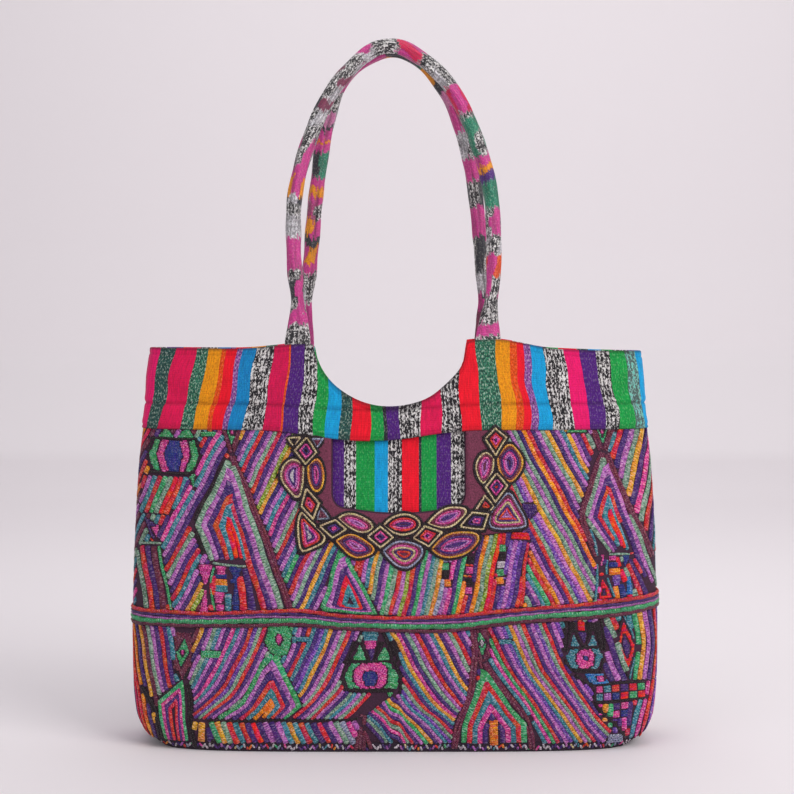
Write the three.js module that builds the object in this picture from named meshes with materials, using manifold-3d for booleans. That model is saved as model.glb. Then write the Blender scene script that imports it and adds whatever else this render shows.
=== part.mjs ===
// Woven tote bag: an embroidered body under a striped yoke, a braid round the seam and two rolled handles.
// Millimetres, +Z up, the front face towards -Y, the origin on the floor under the middle of the base.
import * as THREE from "three";
import { mergeVertices } from "three/addons/utils/BufferGeometryUtils.js";
import Module from "manifold-3d";

const wasm = await Module();
wasm.setup();

// Whole bag
const BAG_WIDTH = 456;
const BAG_DEPTH = 120;
const RIM_HEIGHT = 343;
const CLEARANCE = 0.3;

// Body and base cloth
const BODY_CLOTH = 2.2;
const BASE_CLOTH = 2.2;
const BASE_TURN_UP = 9;

// Yoke, with the hem that laps over the body and sags in the middle
const YOKE_CLOTH = 2;
const YOKE_DROP = 70;
const YOKE_LAP = 10;
const HEM_SAG = 9;
const HEM_SAG_REACH = 95;
const HEM_SAG_X = -22;

// Round scoops cut into the mouth, with their centres above the rim
const SCOOP_RADIUS = 70;
const FRONT_SCOOP_RISE = 20;
const BACK_SCOOP_RISE = 14;
const SCOOP_X = -4;

// Neck opening in the front body, and the striped inset behind it
const NECK_X = 3;
const NECK_WIDTH = 112;
const NECK_DROP = 66;
const NECK_CORNER = 14;
const NECK_BELLY = 4;
const INSET_CLOTH = 1.6;
const INSET_MARGIN = 8;

// Collar of points round the neck
const COLLAR_CLOTH = 1.4;
const COLLAR_X = 5;
const COLLAR_WIDTH = 212;
const COLLAR_DROP = 116;
const COLLAR_INNER_MARGIN = 1;

// Braid over the seam round the body
const BRAID_HEIGHT = 14;
const BRAID_THICKNESS = 2;
const BRAID_LEVEL = 112;

// Rolled handles, flattened into tabs behind the top of the yoke
const HANDLE_DIAMETER = 13;
const HANDLE_WAIST = 11;
const HANDLE_WAIST_REACH = 24;
const HANDLE_REACH = 85;
const HANDLE_RISE = 272;
const HANDLE_TOP_GAP = 1;
const TAB_WIDTH = 23;
const TAB_THICKNESS = 4;
const TAB_DEPTH = 14;
const TAB_TAPER_START = 14;
const TAB_SWELL_START = 24;
const TAB_TAPER_END = 56;

// Facets
const COLUMNS = 36;
const BODY_ROWS = 14;
const YOKE_ROWS = 6;
const PATCH_ROWS = 6;
const BRAID_SIDES = 6;
const HANDLE_SIDES = 8;
const HANDLE_STEPS = 44;
const SCOOP_SIDES = 44;
const OUTLINE_STEPS = 64;
const COLUMN_CROWDING = 0.6;
const BODY_ROW_CROWDING = 1.25;

// Sections of the wall: height as a share of RIM_HEIGHT, width of BAG_WIDTH, depth of BAG_DEPTH,
// and square, which is 2 for an ellipse and more for a squarer plan.
const sections = [
  { height: 0, width: 0.88, depth: 0.9, square: 4.2 },
  { height: 0.015, width: 0.912, depth: 0.93, square: 4.2 },
  { height: 0.03, width: 0.938, depth: 0.955, square: 4.2 },
  { height: 0.055, width: 0.963, depth: 0.98, square: 4.1 },
  { height: 0.082, width: 0.977, depth: 0.993, square: 4 },
  { height: 0.155, width: 0.989, depth: 0.997, square: 3.7 },
  { height: 0.3, width: 0.993, depth: 0.965, square: 3.3 },
  { height: 0.5, width: 0.987, depth: 0.85, square: 2.8 },
  { height: 0.7, width: 0.97, depth: 0.71, square: 2.5 },
  { height: 0.79, width: 0.954, depth: 0.64, square: 2.4 },
  { height: 0.86, width: 0.943, depth: 0.595, square: 2.3 },
  { height: 0.94, width: 0.935, depth: 0.545, square: 2.2 },
  { height: 1, width: 0.921, depth: 0.517, square: 2.1 },
  { height: 1.1, width: 0.905, depth: 0.48, square: 2.1 },
];

// Folds and dents: across as a share of half of BAG_WIDTH, height of RIM_HEIGHT, length and spread
// (half of each) of BAG_WIDTH, depth of BAG_DEPTH, less than nothing where the cloth swells out.
const folds = [
  { face: "front", across: -0.66, height: 0.86, tilt: 0, length: 0.17, spread: 0.024, depth: 0.014 },
  { face: "front", across: 0.64, height: 0.862, tilt: 2, length: 0.16, spread: 0.024, depth: 0.016 },
  { face: "front", across: -0.84, height: 0.885, tilt: 0, length: 0.07, spread: 0.034, depth: 0.026 },
  { face: "front", across: 0.81, height: 0.88, tilt: 0, length: 0.07, spread: 0.034, depth: 0.026 },
  { face: "front", across: -0.76, height: 0.1, tilt: 84, length: 0.09, spread: 0.03, depth: 0.028 },
  { face: "front", across: -0.42, height: 0.08, tilt: 0, length: 0.145, spread: 0.026, depth: 0.018 },
  { face: "front", across: 0.54, height: 0.18, tilt: -37, length: 0.17, spread: 0.04, depth: 0.022 },
  { face: "front", across: 0.78, height: 0.24, tilt: -40, length: 0.13, spread: 0.034, depth: 0.018 },
  { face: "front", across: 0.05, height: 0.42, tilt: 0, length: 0.36, spread: 0.2, depth: -0.03 },
  { face: "back", across: -0.5, height: 0.2, tilt: 52, length: 0.15, spread: 0.04, depth: 0.024 },
  { face: "back", across: 0.45, height: 0.16, tilt: -48, length: 0.15, spread: 0.04, depth: 0.024 },
  { face: "back", across: 0, height: 0.86, tilt: 0, length: 0.4, spread: 0.024, depth: 0.014 },
  { face: "back", across: 0.1, height: 0.45, tilt: 0, length: 0.34, spread: 0.2, depth: -0.025 },
];
const FOLD_SEAM_FADE = 0.055;

// Where the rim is drawn up or sinks: across as a share of half of BAG_WIDTH, reach of BAG_WIDTH,
// lift of RIM_HEIGHT.
const rimLifts = [
  { across: -0.62, reach: 0.3, lift: -0.004 },
  { across: -0.37, reach: 0.13, lift: 0.01 },
  { across: 0.37, reach: 0.13, lift: 0.02 },
  { across: 0.92, reach: 0.28, lift: -0.01 },
];

// Line of the braid round the bag: turn from the left side seam by way of the front, rise as a share
// of BRAID_LEVEL.
const braidLine = [
  { turn: 0, rise: 1 },
  { turn: 0.1, rise: 1.008 },
  { turn: 0.17, rise: 1.03 },
  { turn: 0.21, rise: 0.997 },
  { turn: 0.29, rise: 0.988 },
  { turn: 0.35, rise: 1.04 },
  { turn: 0.42, rise: 1.075 },
  { turn: 0.5, rise: 1.12 },
  { turn: 0.75, rise: 1.05 },
  { turn: 1, rise: 1 },
];

// Points and valleys of the collar: across as a share of half of COLLAR_WIDTH, down of COLLAR_DROP.
const collarPoints = [
  { across: -0.86, down: -0.1 },
  { across: -0.85, down: 0.165 },
  { across: -0.83, down: 0.245 },
  { across: -1, down: 0.347 },
  { across: -0.81, down: 0.458 },
  { across: -0.79, down: 0.56 },
  { across: -0.83, down: 0.63 },
  { across: -0.815, down: 0.9 },
  { across: -0.55, down: 0.8 },
  { across: -0.35, down: 0.927 },
  { across: -0.235, down: 0.84 },
  { across: -0.1, down: 0.84 },
  { across: 0, down: 1 },
  { across: 0.115, down: 0.84 },
  { across: 0.315, down: 0.79 },
  { across: 0.45, down: 0.927 },
  { across: 0.555, down: 0.77 },
  { across: 0.98, down: 0.73 },
  { across: 1, down: 0.66 },
  { across: 0.85, down: 0.45 },
  { across: 0.86, down: 0.34 },
  { across: 0.99, down: 0.25 },
  { across: 0.845, down: 0.144 },
  { across: 0.845, down: -0.1 },
];

// Middle lines of the handles: across as a share of HANDLE_REACH, up of HANDLE_RISE.
const frontHandleLine = [
  { across: -0.99, up: 0 },
  { across: -0.975, up: 0.107 },
  { across: -0.99, up: 0.232 },
  { across: -1.02, up: 0.371 },
  { across: -1.01, up: 0.518 },
  { across: -0.87, up: 0.7 },
  { across: -0.606, up: 0.871 },
  { across: -0.235, up: 0.985 },
  { across: -0.05, up: 1 },
  { across: 0.1, up: 0.991 },
  { across: 0.494, up: 0.897 },
  { across: 0.753, up: 0.757 },
  { across: 0.925, up: 0.6 },
  { across: 0.99, up: 0.452 },
  { across: 0.99, up: 0.287 },
  { across: 0.94, up: 0.107 },
  { across: 0.93, up: 0 },
];
const backHandleLine = [
  { across: -0.985, up: 0 },
  { across: -0.965, up: 0.1 },
  { across: -0.915, up: 0.22 },
  { across: -0.87, up: 0.357 },
  { across: -0.806, up: 0.559 },
  { across: -0.682, up: 0.779 },
  { across: -0.506, up: 0.914 },
  { across: -0.094, up: 0.993 },
  { across: 0.207, up: 0.974 },
  { across: 0.53, up: 0.86 },
  { across: 0.706, up: 0.724 },
  { across: 0.832, up: 0.526 },
  { across: 0.906, up: 0.29 },
  { across: 0.95, up: 0.1 },
  { across: 0.965, up: 0 },
];

const mix = THREE.MathUtils.lerp;
const ease = THREE.MathUtils.smoothstep;

// A hump that is 1 in the middle and 0 from a distance of 1 on.
function hump(distance) {
  return Math.abs(distance) < 1 ? (1 + Math.cos(Math.PI * distance)) / 2 : 0;
}

// The value of one column of a table, smooth between its rows.
function follow(rows, place, column, at) {
  let next = rows.findIndex((row) => row[place] > at);
  next = next < 0 ? rows.length - 1 : Math.max(next, 1);
  const slope = (i) => {
    const before = rows[Math.max(i - 1, 0)];
    const after = rows[Math.min(i + 1, rows.length - 1)];
    return (after[column] - before[column]) / (after[place] - before[place]);
  };
  const from = rows[next - 1];
  const to = rows[next];
  const span = to[place] - from[place];
  const t = THREE.MathUtils.clamp((at - from[place]) / span, 0, 1);
  const start = (1 + 2 * t) * (1 - t) ** 2 * from[column] + t * (1 - t) ** 2 * span * slope(next - 1);
  const end = t * t * (3 - 2 * t) * to[column] - t * t * (1 - t) * span * slope(next);
  return start + end;
}

// A quarter of the wall's middle line at one height, from the middle of the face to the side seam.
const outlines = new Map();
function outlineAt(height) {
  const key = height.toFixed(4);
  if (outlines.has(key)) return outlines.get(key);
  const share = height / RIM_HEIGHT;
  const halfWidth = (follow(sections, "height", "width", share) * BAG_WIDTH) / 2;
  const halfDepth = (follow(sections, "height", "depth", share) * BAG_DEPTH) / 2;
  const square = follow(sections, "height", "square", share);
  const points = [];
  let run = 0;
  for (let i = 0; i <= OUTLINE_STEPS; i++) {
    const angle = ((i / OUTLINE_STEPS) * Math.PI) / 2;
    const x = i === 0 ? 0 : halfWidth * Math.sin(angle) ** (2 / square);
    const y = i === OUTLINE_STEPS ? 0 : halfDepth * Math.cos(angle) ** (2 / square);
    if (i > 0) run += Math.hypot(x - points[i - 1].x, y - points[i - 1].y);
    points.push({ x, y, run });
  }
  const outline = { halfWidth, halfDepth, square, points, length: run };
  outlines.set(key, outline);
  return outline;
}

// How far the folds push the wall in at a place on one face.
function foldDepth(face, x, height) {
  let depth = 0;
  for (const fold of folds) {
    if (fold.face !== face) continue;
    const dx = x - (fold.across * BAG_WIDTH) / 2;
    const dz = height - fold.height * RIM_HEIGHT;
    const tilt = THREE.MathUtils.degToRad(fold.tilt);
    const along = (dx * Math.cos(tilt) + dz * Math.sin(tilt)) / (fold.length * BAG_WIDTH);
    const aside = (dz * Math.cos(tilt) - dx * Math.sin(tilt)) / (fold.spread * BAG_WIDTH);
    depth += fold.depth * BAG_DEPTH * hump(along) * hump(aside);
  }
  return depth;
}

// A point of the wall. The turn goes from the left side seam (0) by way of the front (0.25), the right
// side seam (0.5) and the back (0.75). Outward is the distance from the middle of the body's cloth.
function wallPoint(turn, height, outward) {
  const face = turn < 0.5 ? "front" : "back";
  const swing = face === "front" ? (turn - 0.25) / 0.25 : (0.75 - turn) / 0.25;
  const outline = outlineAt(height);
  const run = Math.min(Math.abs(swing), 1) * outline.length;
  let next = outline.points.findIndex((point) => point.run >= run);
  next = next < 0 ? OUTLINE_STEPS : Math.max(next, 1);
  const from = outline.points[next - 1];
  const to = outline.points[next];
  const t = (run - from.run) / (to.run - from.run);
  const x = mix(from.x, to.x, t);
  const y = mix(from.y, to.y, t);
  const normal = new THREE.Vector2(
    (x / outline.halfWidth) ** (outline.square - 1) / outline.halfWidth,
    (y / outline.halfDepth) ** (outline.square - 1) / outline.halfDepth,
  ).normalize();
  const side = Math.sign(swing) || 1;
  const facing = face === "front" ? -1 : 1;
  const fromSeam = (outline.length - run) / BAG_WIDTH;
  const push = outward - foldDepth(face, side * x, height) * ease(fromSeam, 0, FOLD_SEAM_FADE);
  return new THREE.Vector3(side * (x + normal.x * push), facing * (y + normal.y * push), height);
}

// The turn at which one face of the wall passes a given x.
function turnAt(face, x, height) {
  const outline = outlineAt(height);
  const reach = Math.min(Math.abs(x), outline.halfWidth);
  const next = Math.max(outline.points.findIndex((point) => point.x >= reach), 1);
  const from = outline.points[next - 1];
  const to = outline.points[next];
  const run = mix(from.run, to.run, (reach - from.x) / (to.x - from.x));
  const swing = (Math.sign(x) * run) / outline.length;
  return face === "front" ? 0.25 + swing / 4 : 0.75 - swing / 4;
}

// The share along one face at which column number i lies, closer together near the side seams.
function columnShare(i) {
  const even = i / COLUMNS;
  return mix(even, (1 - Math.cos(Math.PI * even)) / 2, COLUMN_CROWDING);
}

// The turn of a column on one face, with the clearance kept at the side seams.
function columnTurn(face, i) {
  const trim = i === 0 || i === COLUMNS ? CLEARANCE / 2 / (2 * outlineAt(RIM_HEIGHT / 2).length) : 0;
  const share = columnShare(i) + (i === 0 ? trim : -trim);
  return (face === "front" ? 0 : 0.5) + share / 2;
}

function xAtHem(turn) {
  return wallPoint(turn, RIM_HEIGHT - YOKE_DROP, 0).x;
}

// Height of the yoke's lower edge.
function hemHeight(turn) {
  return RIM_HEIGHT - YOKE_DROP - HEM_SAG * hump((xAtHem(turn) - HEM_SAG_X) / HEM_SAG_REACH);
}

// Height of the yoke's upper edge.
function rimHeight(turn) {
  const x = xAtHem(turn);
  let height = RIM_HEIGHT;
  for (const lift of rimLifts) {
    const distance = (x - (lift.across * BAG_WIDTH) / 2) / (lift.reach * BAG_WIDTH);
    height += lift.lift * RIM_HEIGHT * hump(distance);
  }
  return height;
}

// Leaves a geometry with merged corners only.
function closed(geometry) {
  geometry.deleteAttribute("normal");
  geometry.deleteAttribute("uv");
  return mergeVertices(geometry, 1e-4);
}

// Moves each corner of a geometry to the point that place gives for it.
function bent(geometry, place) {
  const position = geometry.getAttribute("position");
  const uv = geometry.getAttribute("uv");
  for (let i = 0; i < position.count; i++) {
    const from = new THREE.Vector3().fromBufferAttribute(position, i);
    const to = place(from, new THREE.Vector2().fromBufferAttribute(uv, i));
    position.setXYZ(i, to.x, to.y, to.z);
  }
  return closed(geometry);
}

// A sheet of cloth on one face of the wall, between two heights and two distances from its middle.
function wallSheet(face, rows, heightOf, inner, outer) {
  const block = new THREE.BoxGeometry(COLUMNS, rows, 1, COLUMNS, rows, 1);
  return bent(block, (corner) => {
    const column = Math.round(corner.x + COLUMNS / 2);
    const turn = columnTurn(face, column);
    const height = heightOf(turn, corner.y + rows / 2);
    return wallPoint(turn, height, corner.z < 0 ? inner : outer);
  });
}

// A rod along a curve, round or flattened, with its two half widths and its flat side given along it.
function rod(curve, sides, steps, halfWidth, halfThickness, flatSide) {
  const bar = new THREE.CylinderGeometry(1, 1, 1, sides, steps);
  const length = curve.getLength();
  return bent(bar, (corner) => {
    const share = corner.y + 0.5;
    const tangent = curve.getTangentAt(share);
    const thin = flatSide(share).addScaledVector(tangent, -flatSide(share).dot(tangent)).normalize();
    const wide = new THREE.Vector3().crossVectors(tangent, thin);
    return curve
      .getPointAt(share)
      .addScaledVector(wide, corner.x * halfWidth(share, length))
      .addScaledVector(thin, corner.z * halfThickness(share, length));
  });
}

function solidOf(geometry) {
  return new wasm.Manifold(
    new wasm.Mesh({
      numProp: 3,
      vertProperties: geometry.getAttribute("position").array,
      triVerts: new Uint32Array(geometry.index.array),
    }),
  );
}

function geometryOf(solid) {
  const mesh = solid.getMesh();
  return new THREE.BufferGeometry()
    .setAttribute("position", new THREE.BufferAttribute(new Float32Array(mesh.vertProperties), 3))
    .setIndex(new THREE.BufferAttribute(mesh.triVerts, 1));
}

// A shape drawn across and up, as a straight block through the front of the bag.
function frontBlock(shape) {
  const block = new THREE.ExtrudeGeometry(shape, { depth: BAG_DEPTH, bevelEnabled: false });
  block.rotateX(Math.PI / 2);
  return solidOf(closed(block));
}

function makeBody(face) {
  const bottom = BASE_TURN_UP + CLEARANCE;
  const heightOf = (turn, row) =>
    mix(bottom, hemHeight(turn) + YOKE_LAP, (row / BODY_ROWS) ** BODY_ROW_CROWDING);
  return wallSheet(face, BODY_ROWS, heightOf, -BODY_CLOTH / 2, BODY_CLOTH / 2);
}

// The neck's outline, let out by a margin and run up to a height.
function neckShape(margin, top) {
  const half = NECK_WIDTH / 2 + margin;
  const bottom = RIM_HEIGHT - YOKE_DROP - NECK_DROP - margin;
  const corner = NECK_CORNER + margin;
  const shape = new THREE.Shape();
  shape.moveTo(NECK_X - half, top);
  shape.lineTo(NECK_X - half, bottom + corner);
  shape.quadraticCurveTo(NECK_X - half, bottom, NECK_X - half + corner, bottom);
  shape.quadraticCurveTo(NECK_X, bottom - 2 * NECK_BELLY, NECK_X + half - corner, bottom);
  shape.quadraticCurveTo(NECK_X + half, bottom, NECK_X + half, bottom + corner);
  shape.lineTo(NECK_X + half, top);
  return shape;
}

function makeFrontBody() {
  const neck = frontBlock(neckShape(0, RIM_HEIGHT));
  return geometryOf(solidOf(makeBody("front")).subtract(neck));
}

function makeNeckInset() {
  const outer = -BODY_CLOTH / 2 - CLEARANCE;
  const bottom = RIM_HEIGHT - YOKE_DROP - NECK_DROP - INSET_MARGIN - 2 * NECK_BELLY;
  const heightOf = (turn, row) => mix(bottom, hemHeight(turn) + YOKE_LAP, row / PATCH_ROWS);
  const sheet = wallSheet("front", PATCH_ROWS, heightOf, outer - INSET_CLOTH, outer);
  return geometryOf(solidOf(sheet).intersect(frontBlock(neckShape(INSET_MARGIN, RIM_HEIGHT))));
}

function makeCollar() {
  const inner = BODY_CLOTH / 2 + CLEARANCE;
  const hem = RIM_HEIGHT - YOKE_DROP;
  const bottom = hem - COLLAR_DROP - 1;
  const heightOf = (turn, row) => mix(bottom, hemHeight(turn) - 2 * CLEARANCE, row / PATCH_ROWS);
  const sheet = wallSheet("front", PATCH_ROWS, heightOf, inner, inner + COLLAR_CLOTH);
  const outline = new THREE.Shape(
    collarPoints.map(
      ({ across, down }) =>
        new THREE.Vector2(COLLAR_X + (across * COLLAR_WIDTH) / 2, hem - down * COLLAR_DROP),
    ),
  );
  const neck = frontBlock(neckShape(COLLAR_INNER_MARGIN, RIM_HEIGHT));
  return geometryOf(solidOf(sheet).intersect(frontBlock(outline)).subtract(neck));
}

// The base: flat under the bag, turned up round its edge to meet the body.
function makeBase() {
  const half = BASE_CLOTH / 2;
  const profile = [
    { reach: 0, height: 0, outward: half },
    { reach: 1, height: 0, outward: half },
    { reach: 1, height: BASE_TURN_UP / 2, outward: half },
    { reach: 1, height: BASE_TURN_UP, outward: half },
    { reach: 1, height: BASE_TURN_UP, outward: -half },
    { reach: 1, height: BASE_TURN_UP / 2, outward: -half },
    { reach: 1, height: BASE_CLOTH, outward: -half },
    { reach: 0, height: BASE_CLOTH, outward: -half },
  ];
  const points = profile.map(({ reach, height }) => new THREE.Vector2(reach, height));
  const bowl = new THREE.LatheGeometry(points, 2 * COLUMNS);
  bowl.rotateX(Math.PI / 2);
  return bent(bowl, (corner, uv) => {
    const { reach, height, outward } = profile[Math.round(uv.y * (profile.length - 1))];
    const column = Math.round(uv.x * 2 * COLUMNS) % (2 * COLUMNS);
    const turn = (Math.floor(column / COLUMNS) + columnShare(column % COLUMNS)) / 2;
    return wallPoint(turn, height, outward).multiply(new THREE.Vector3(reach, reach, 1));
  });
}

function makeYoke(face) {
  const inner = BODY_CLOTH / 2 + CLEARANCE;
  const heightOf = (turn, row) => {
    const lap = hemHeight(turn) + YOKE_LAP;
    if (row <= 1) return mix(hemHeight(turn), lap, row);
    return mix(lap, rimHeight(turn), (row - 1) / (YOKE_ROWS - 1));
  };
  const sheet = solidOf(wallSheet(face, YOKE_ROWS, heightOf, inner, inner + YOKE_CLOTH));
  const rise = face === "front" ? FRONT_SCOOP_RISE : BACK_SCOOP_RISE;
  const cutter = new THREE.CylinderGeometry(SCOOP_RADIUS, SCOOP_RADIUS, 2 * BAG_DEPTH, SCOOP_SIDES);
  cutter.translate(SCOOP_X, 0, RIM_HEIGHT + rise);
  return geometryOf(sheet.subtract(solidOf(closed(cutter))));
}

function makeBraid() {
  const ring = new THREE.TorusGeometry(2, 1, BRAID_SIDES, 2 * COLUMNS);
  const inner = BODY_CLOTH / 2 + CLEARANCE;
  return bent(ring, (corner, uv) => {
    const column = Math.round(uv.x * 2 * COLUMNS) % (2 * COLUMNS);
    const turn = (Math.floor(column / COLUMNS) + columnShare(column % COLUMNS)) / 2;
    const angle = ((Math.round(uv.y * BRAID_SIDES) % BRAID_SIDES) * 2 * Math.PI) / BRAID_SIDES;
    const level = BRAID_LEVEL * follow(braidLine, "turn", "rise", turn);
    const height = level + (BRAID_HEIGHT / 2) * Math.sin(angle);
    const outward = inner + (BRAID_THICKNESS / 2) * (1 + Math.cos(angle));
    return wallPoint(turn, height, outward);
  });
}

// A rolled handle: its tabs lie flat behind the yoke, and its two ends lean to the other handle.
function makeHandle(face, line) {
  const foot = RIM_HEIGHT - TAB_DEPTH;
  const behind = BODY_CLOTH / 2 - TAB_THICKNESS / 2;
  const footAt = ({ across }) =>
    wallPoint(turnAt(face, across * HANDLE_REACH, foot), foot, behind);
  const left = footAt(line[0]);
  const right = footAt(line[line.length - 1]);
  const facing = Math.sign(left.y);
  const crown = (facing * (HANDLE_DIAMETER + HANDLE_TOP_GAP)) / 2;
  const points = line.map(
    ({ across, up }) =>
      new THREE.Vector3(across * HANDLE_REACH, mix(left.y, crown, up), foot + up * HANDLE_RISE),
  );
  const curve = new THREE.CatmullRomCurve3(points);
  const normalAt = (end) =>
    wallPoint(turnAt(face, end.x, foot), foot, 1).sub(wallPoint(turnAt(face, end.x, foot), foot, 0));
  const leftNormal = normalAt(left);
  const rightNormal = normalAt(right);
  const fromEnd = (share, length) => Math.min(share, 1 - share) * length;
  const diameter = (distance) =>
    mix(HANDLE_DIAMETER, HANDLE_WAIST, hump((distance - TAB_TAPER_END) / HANDLE_WAIST_REACH));
  const halfWidth = (share, length) => {
    const distance = fromEnd(share, length);
    return mix(TAB_WIDTH, diameter(distance), ease(distance, TAB_TAPER_START, TAB_TAPER_END)) / 2;
  };
  const halfThickness = (share, length) => {
    const distance = fromEnd(share, length);
    return mix(TAB_THICKNESS, diameter(distance), ease(distance, TAB_SWELL_START, TAB_TAPER_END)) / 2;
  };
  const flatSide = (share) => new THREE.Vector3().lerpVectors(leftNormal, rightNormal, share);
  return rod(curve, HANDLE_SIDES, HANDLE_STEPS, halfWidth, halfThickness, flatSide);
}

// Finishes
const wovenStripes = { color: "#c8304f", roughness: 0.85, metalness: 0 };
const embroidery = { color: "#5b3050", roughness: 0.8, metalness: 0 };
const darkCloth = { color: "#2b1c24", roughness: 0.9, metalness: 0 };
const insetStripes = { color: "#3a8a5e", roughness: 0.85, metalness: 0 };
const collarThread = { color: "#c05a9a", roughness: 0.8, metalness: 0 };
const braidThread = { color: "#4c9a55", roughness: 0.8, metalness: 0 };
const handleCloth = { color: "#d0508c", roughness: 0.85, metalness: 0 };

function makeMesh(name, geometry, finish) {
  const mesh = new THREE.Mesh(geometry, new THREE.MeshStandardMaterial(finish));
  mesh.name = name;
  return mesh;
}

const bag = new THREE.Group();
bag.add(
  makeMesh("front_body", makeFrontBody(), embroidery),
  makeMesh("back_body", makeBody("back"), embroidery),
  makeMesh("base_panel", makeBase(), darkCloth),
  makeMesh("front_yoke", makeYoke("front"), wovenStripes),
  makeMesh("back_yoke", makeYoke("back"), wovenStripes),
  makeMesh("neck_inset", makeNeckInset(), insetStripes),
  makeMesh("collar", makeCollar(), collarThread),
  makeMesh("seam_braid", makeBraid(), braidThread),
  makeMesh("front_handle", makeHandle("front", frontHandleLine), handleCloth),
  makeMesh("back_handle", makeHandle("back", backHandleLine), handleCloth),
);

export default bag;
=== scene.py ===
"""Looks of an embroidered textile tote bag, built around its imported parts."""

import math

import bmesh
import bpy
import numpy as np
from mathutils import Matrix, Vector


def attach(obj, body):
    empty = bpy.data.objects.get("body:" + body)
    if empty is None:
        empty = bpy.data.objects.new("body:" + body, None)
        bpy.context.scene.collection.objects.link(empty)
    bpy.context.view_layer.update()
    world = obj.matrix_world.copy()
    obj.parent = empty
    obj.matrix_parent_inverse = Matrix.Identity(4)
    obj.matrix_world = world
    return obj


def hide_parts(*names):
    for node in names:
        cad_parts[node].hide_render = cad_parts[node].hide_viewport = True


bl_info = {
    "name": "Embroidered tote bag",
    "version": (1, 0, 0),
    "blender": (4, 5, 0),
    "location": "View3D > Sidebar > Tote Bag",
    "description": "Builds the cloth, embroidery, braid and handles of a textile tote bag",
    "category": "Object",
}

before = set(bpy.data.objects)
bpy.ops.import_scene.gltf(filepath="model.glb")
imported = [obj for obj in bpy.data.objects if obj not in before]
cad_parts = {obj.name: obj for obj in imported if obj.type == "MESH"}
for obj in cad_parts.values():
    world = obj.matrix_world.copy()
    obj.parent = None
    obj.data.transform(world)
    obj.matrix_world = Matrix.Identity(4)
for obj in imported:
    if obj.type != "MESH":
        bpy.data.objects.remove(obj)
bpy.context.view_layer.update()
MM = 0.001

# The wall of the bag, as its parts have it, in millimetres.

BAG_WIDTH = 456
BAG_DEPTH = 120
RIM_HEIGHT = 343
BODY_CLOTH = 2.2
CLEARANCE = 0.3
BASE_TURN_UP = 9
YOKE_CLOTH = 2
YOKE_DROP = 70
YOKE_LAP = 10
HEM_SAG, HEM_SAG_REACH, HEM_SAG_X = 9, 95, -22
SCOOP_RADIUS, SCOOP_X = 70, -4
SCOOP_RISE = {"front": 20, "back": 14}
NECK_X, NECK_WIDTH, NECK_DROP, NECK_CORNER, NECK_BELLY = 3, 112, 66, 14, 4
INSET_CLOTH = 1.6
COLLAR_CLOTH = 1.4
COLLAR_X, COLLAR_WIDTH, COLLAR_DROP = 5, 212, 116
BRAID_LEVEL = 112
HANDLE_DIAMETER, HANDLE_WAIST, HANDLE_WAIST_REACH = 13, 11, 24
HANDLE_REACH, HANDLE_RISE, HANDLE_TOP_GAP = 85, 272, 1
TAB_WIDTH, TAB_THICKNESS, TAB_DEPTH = 23, 4, 14
TAB_TAPER_START, TAB_SWELL_START, TAB_TAPER_END = 14, 24, 56

# Height, width and depth as shares of RIM_HEIGHT, BAG_WIDTH and BAG_DEPTH, and squareness.
SECTIONS = np.array([
    (0, 0.88, 0.9, 4.2), (0.015, 0.912, 0.93, 4.2), (0.03, 0.938, 0.955, 4.2), (0.055, 0.963, 0.98, 4.1),
    (0.082, 0.977, 0.993, 4), (0.155, 0.989, 0.997, 3.7), (0.3, 0.993, 0.965, 3.3), (0.5, 0.987, 0.85, 2.8),
    (0.7, 0.97, 0.71, 2.5), (0.79, 0.954, 0.64, 2.4), (0.86, 0.943, 0.595, 2.3), (0.94, 0.935, 0.545, 2.2),
    (1, 0.921, 0.517, 2.1), (1.1, 0.905, 0.48, 2.1),
])

# Across, height, tilt, length, spread and depth of each fold.
FOLDS = {
    "front": [
        (-0.66, 0.86, 0, 0.17, 0.024, 0.014), (0.64, 0.862, 2, 0.16, 0.024, 0.016),
        (-0.84, 0.885, 0, 0.07, 0.034, 0.026), (0.81, 0.88, 0, 0.07, 0.034, 0.026),
        (-0.76, 0.1, 84, 0.09, 0.03, 0.028), (-0.42, 0.08, 0, 0.145, 0.026, 0.018),
        (0.54, 0.18, -37, 0.17, 0.04, 0.022), (0.78, 0.24, -40, 0.13, 0.034, 0.018),
        (0.05, 0.42, 0, 0.36, 0.2, -0.03),
    ],
    "back": [
        (-0.5, 0.2, 52, 0.15, 0.04, 0.024), (0.45, 0.16, -48, 0.15, 0.04, 0.024),
        (0, 0.86, 0, 0.4, 0.024, 0.014), (0.1, 0.45, 0, 0.34, 0.2, -0.025),
    ],
}
FOLD_SEAM_FADE = 0.055

# Across, reach and lift of the places where the rim rises or sinks.
RIM_LIFTS = [(-0.62, 0.3, -0.004), (-0.37, 0.13, 0.01), (0.37, 0.13, 0.02), (0.92, 0.28, -0.01)]

# Turn round the bag and rise of the braid.
BRAID_LINE = np.array([
    (0, 1), (0.1, 1.008), (0.17, 1.03), (0.21, 0.997), (0.29, 0.988), (0.35, 1.04), (0.42, 1.075),
    (0.5, 1.12), (0.75, 1.05), (1, 1),
])

# Across and down of the collar's points and valleys.
COLLAR_POINTS = np.array([
    (-0.86, -0.1), (-0.85, 0.165), (-0.83, 0.245), (-1, 0.347), (-0.81, 0.458), (-0.79, 0.56),
    (-0.83, 0.63), (-0.815, 0.9), (-0.55, 0.8), (-0.35, 0.927), (-0.235, 0.84), (-0.1, 0.84), (0, 1),
    (0.115, 0.84), (0.315, 0.79), (0.45, 0.927), (0.555, 0.77), (0.98, 0.73), (1, 0.66), (0.85, 0.45),
    (0.86, 0.34), (0.99, 0.25), (0.845, 0.144), (0.845, -0.1),
])

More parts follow.
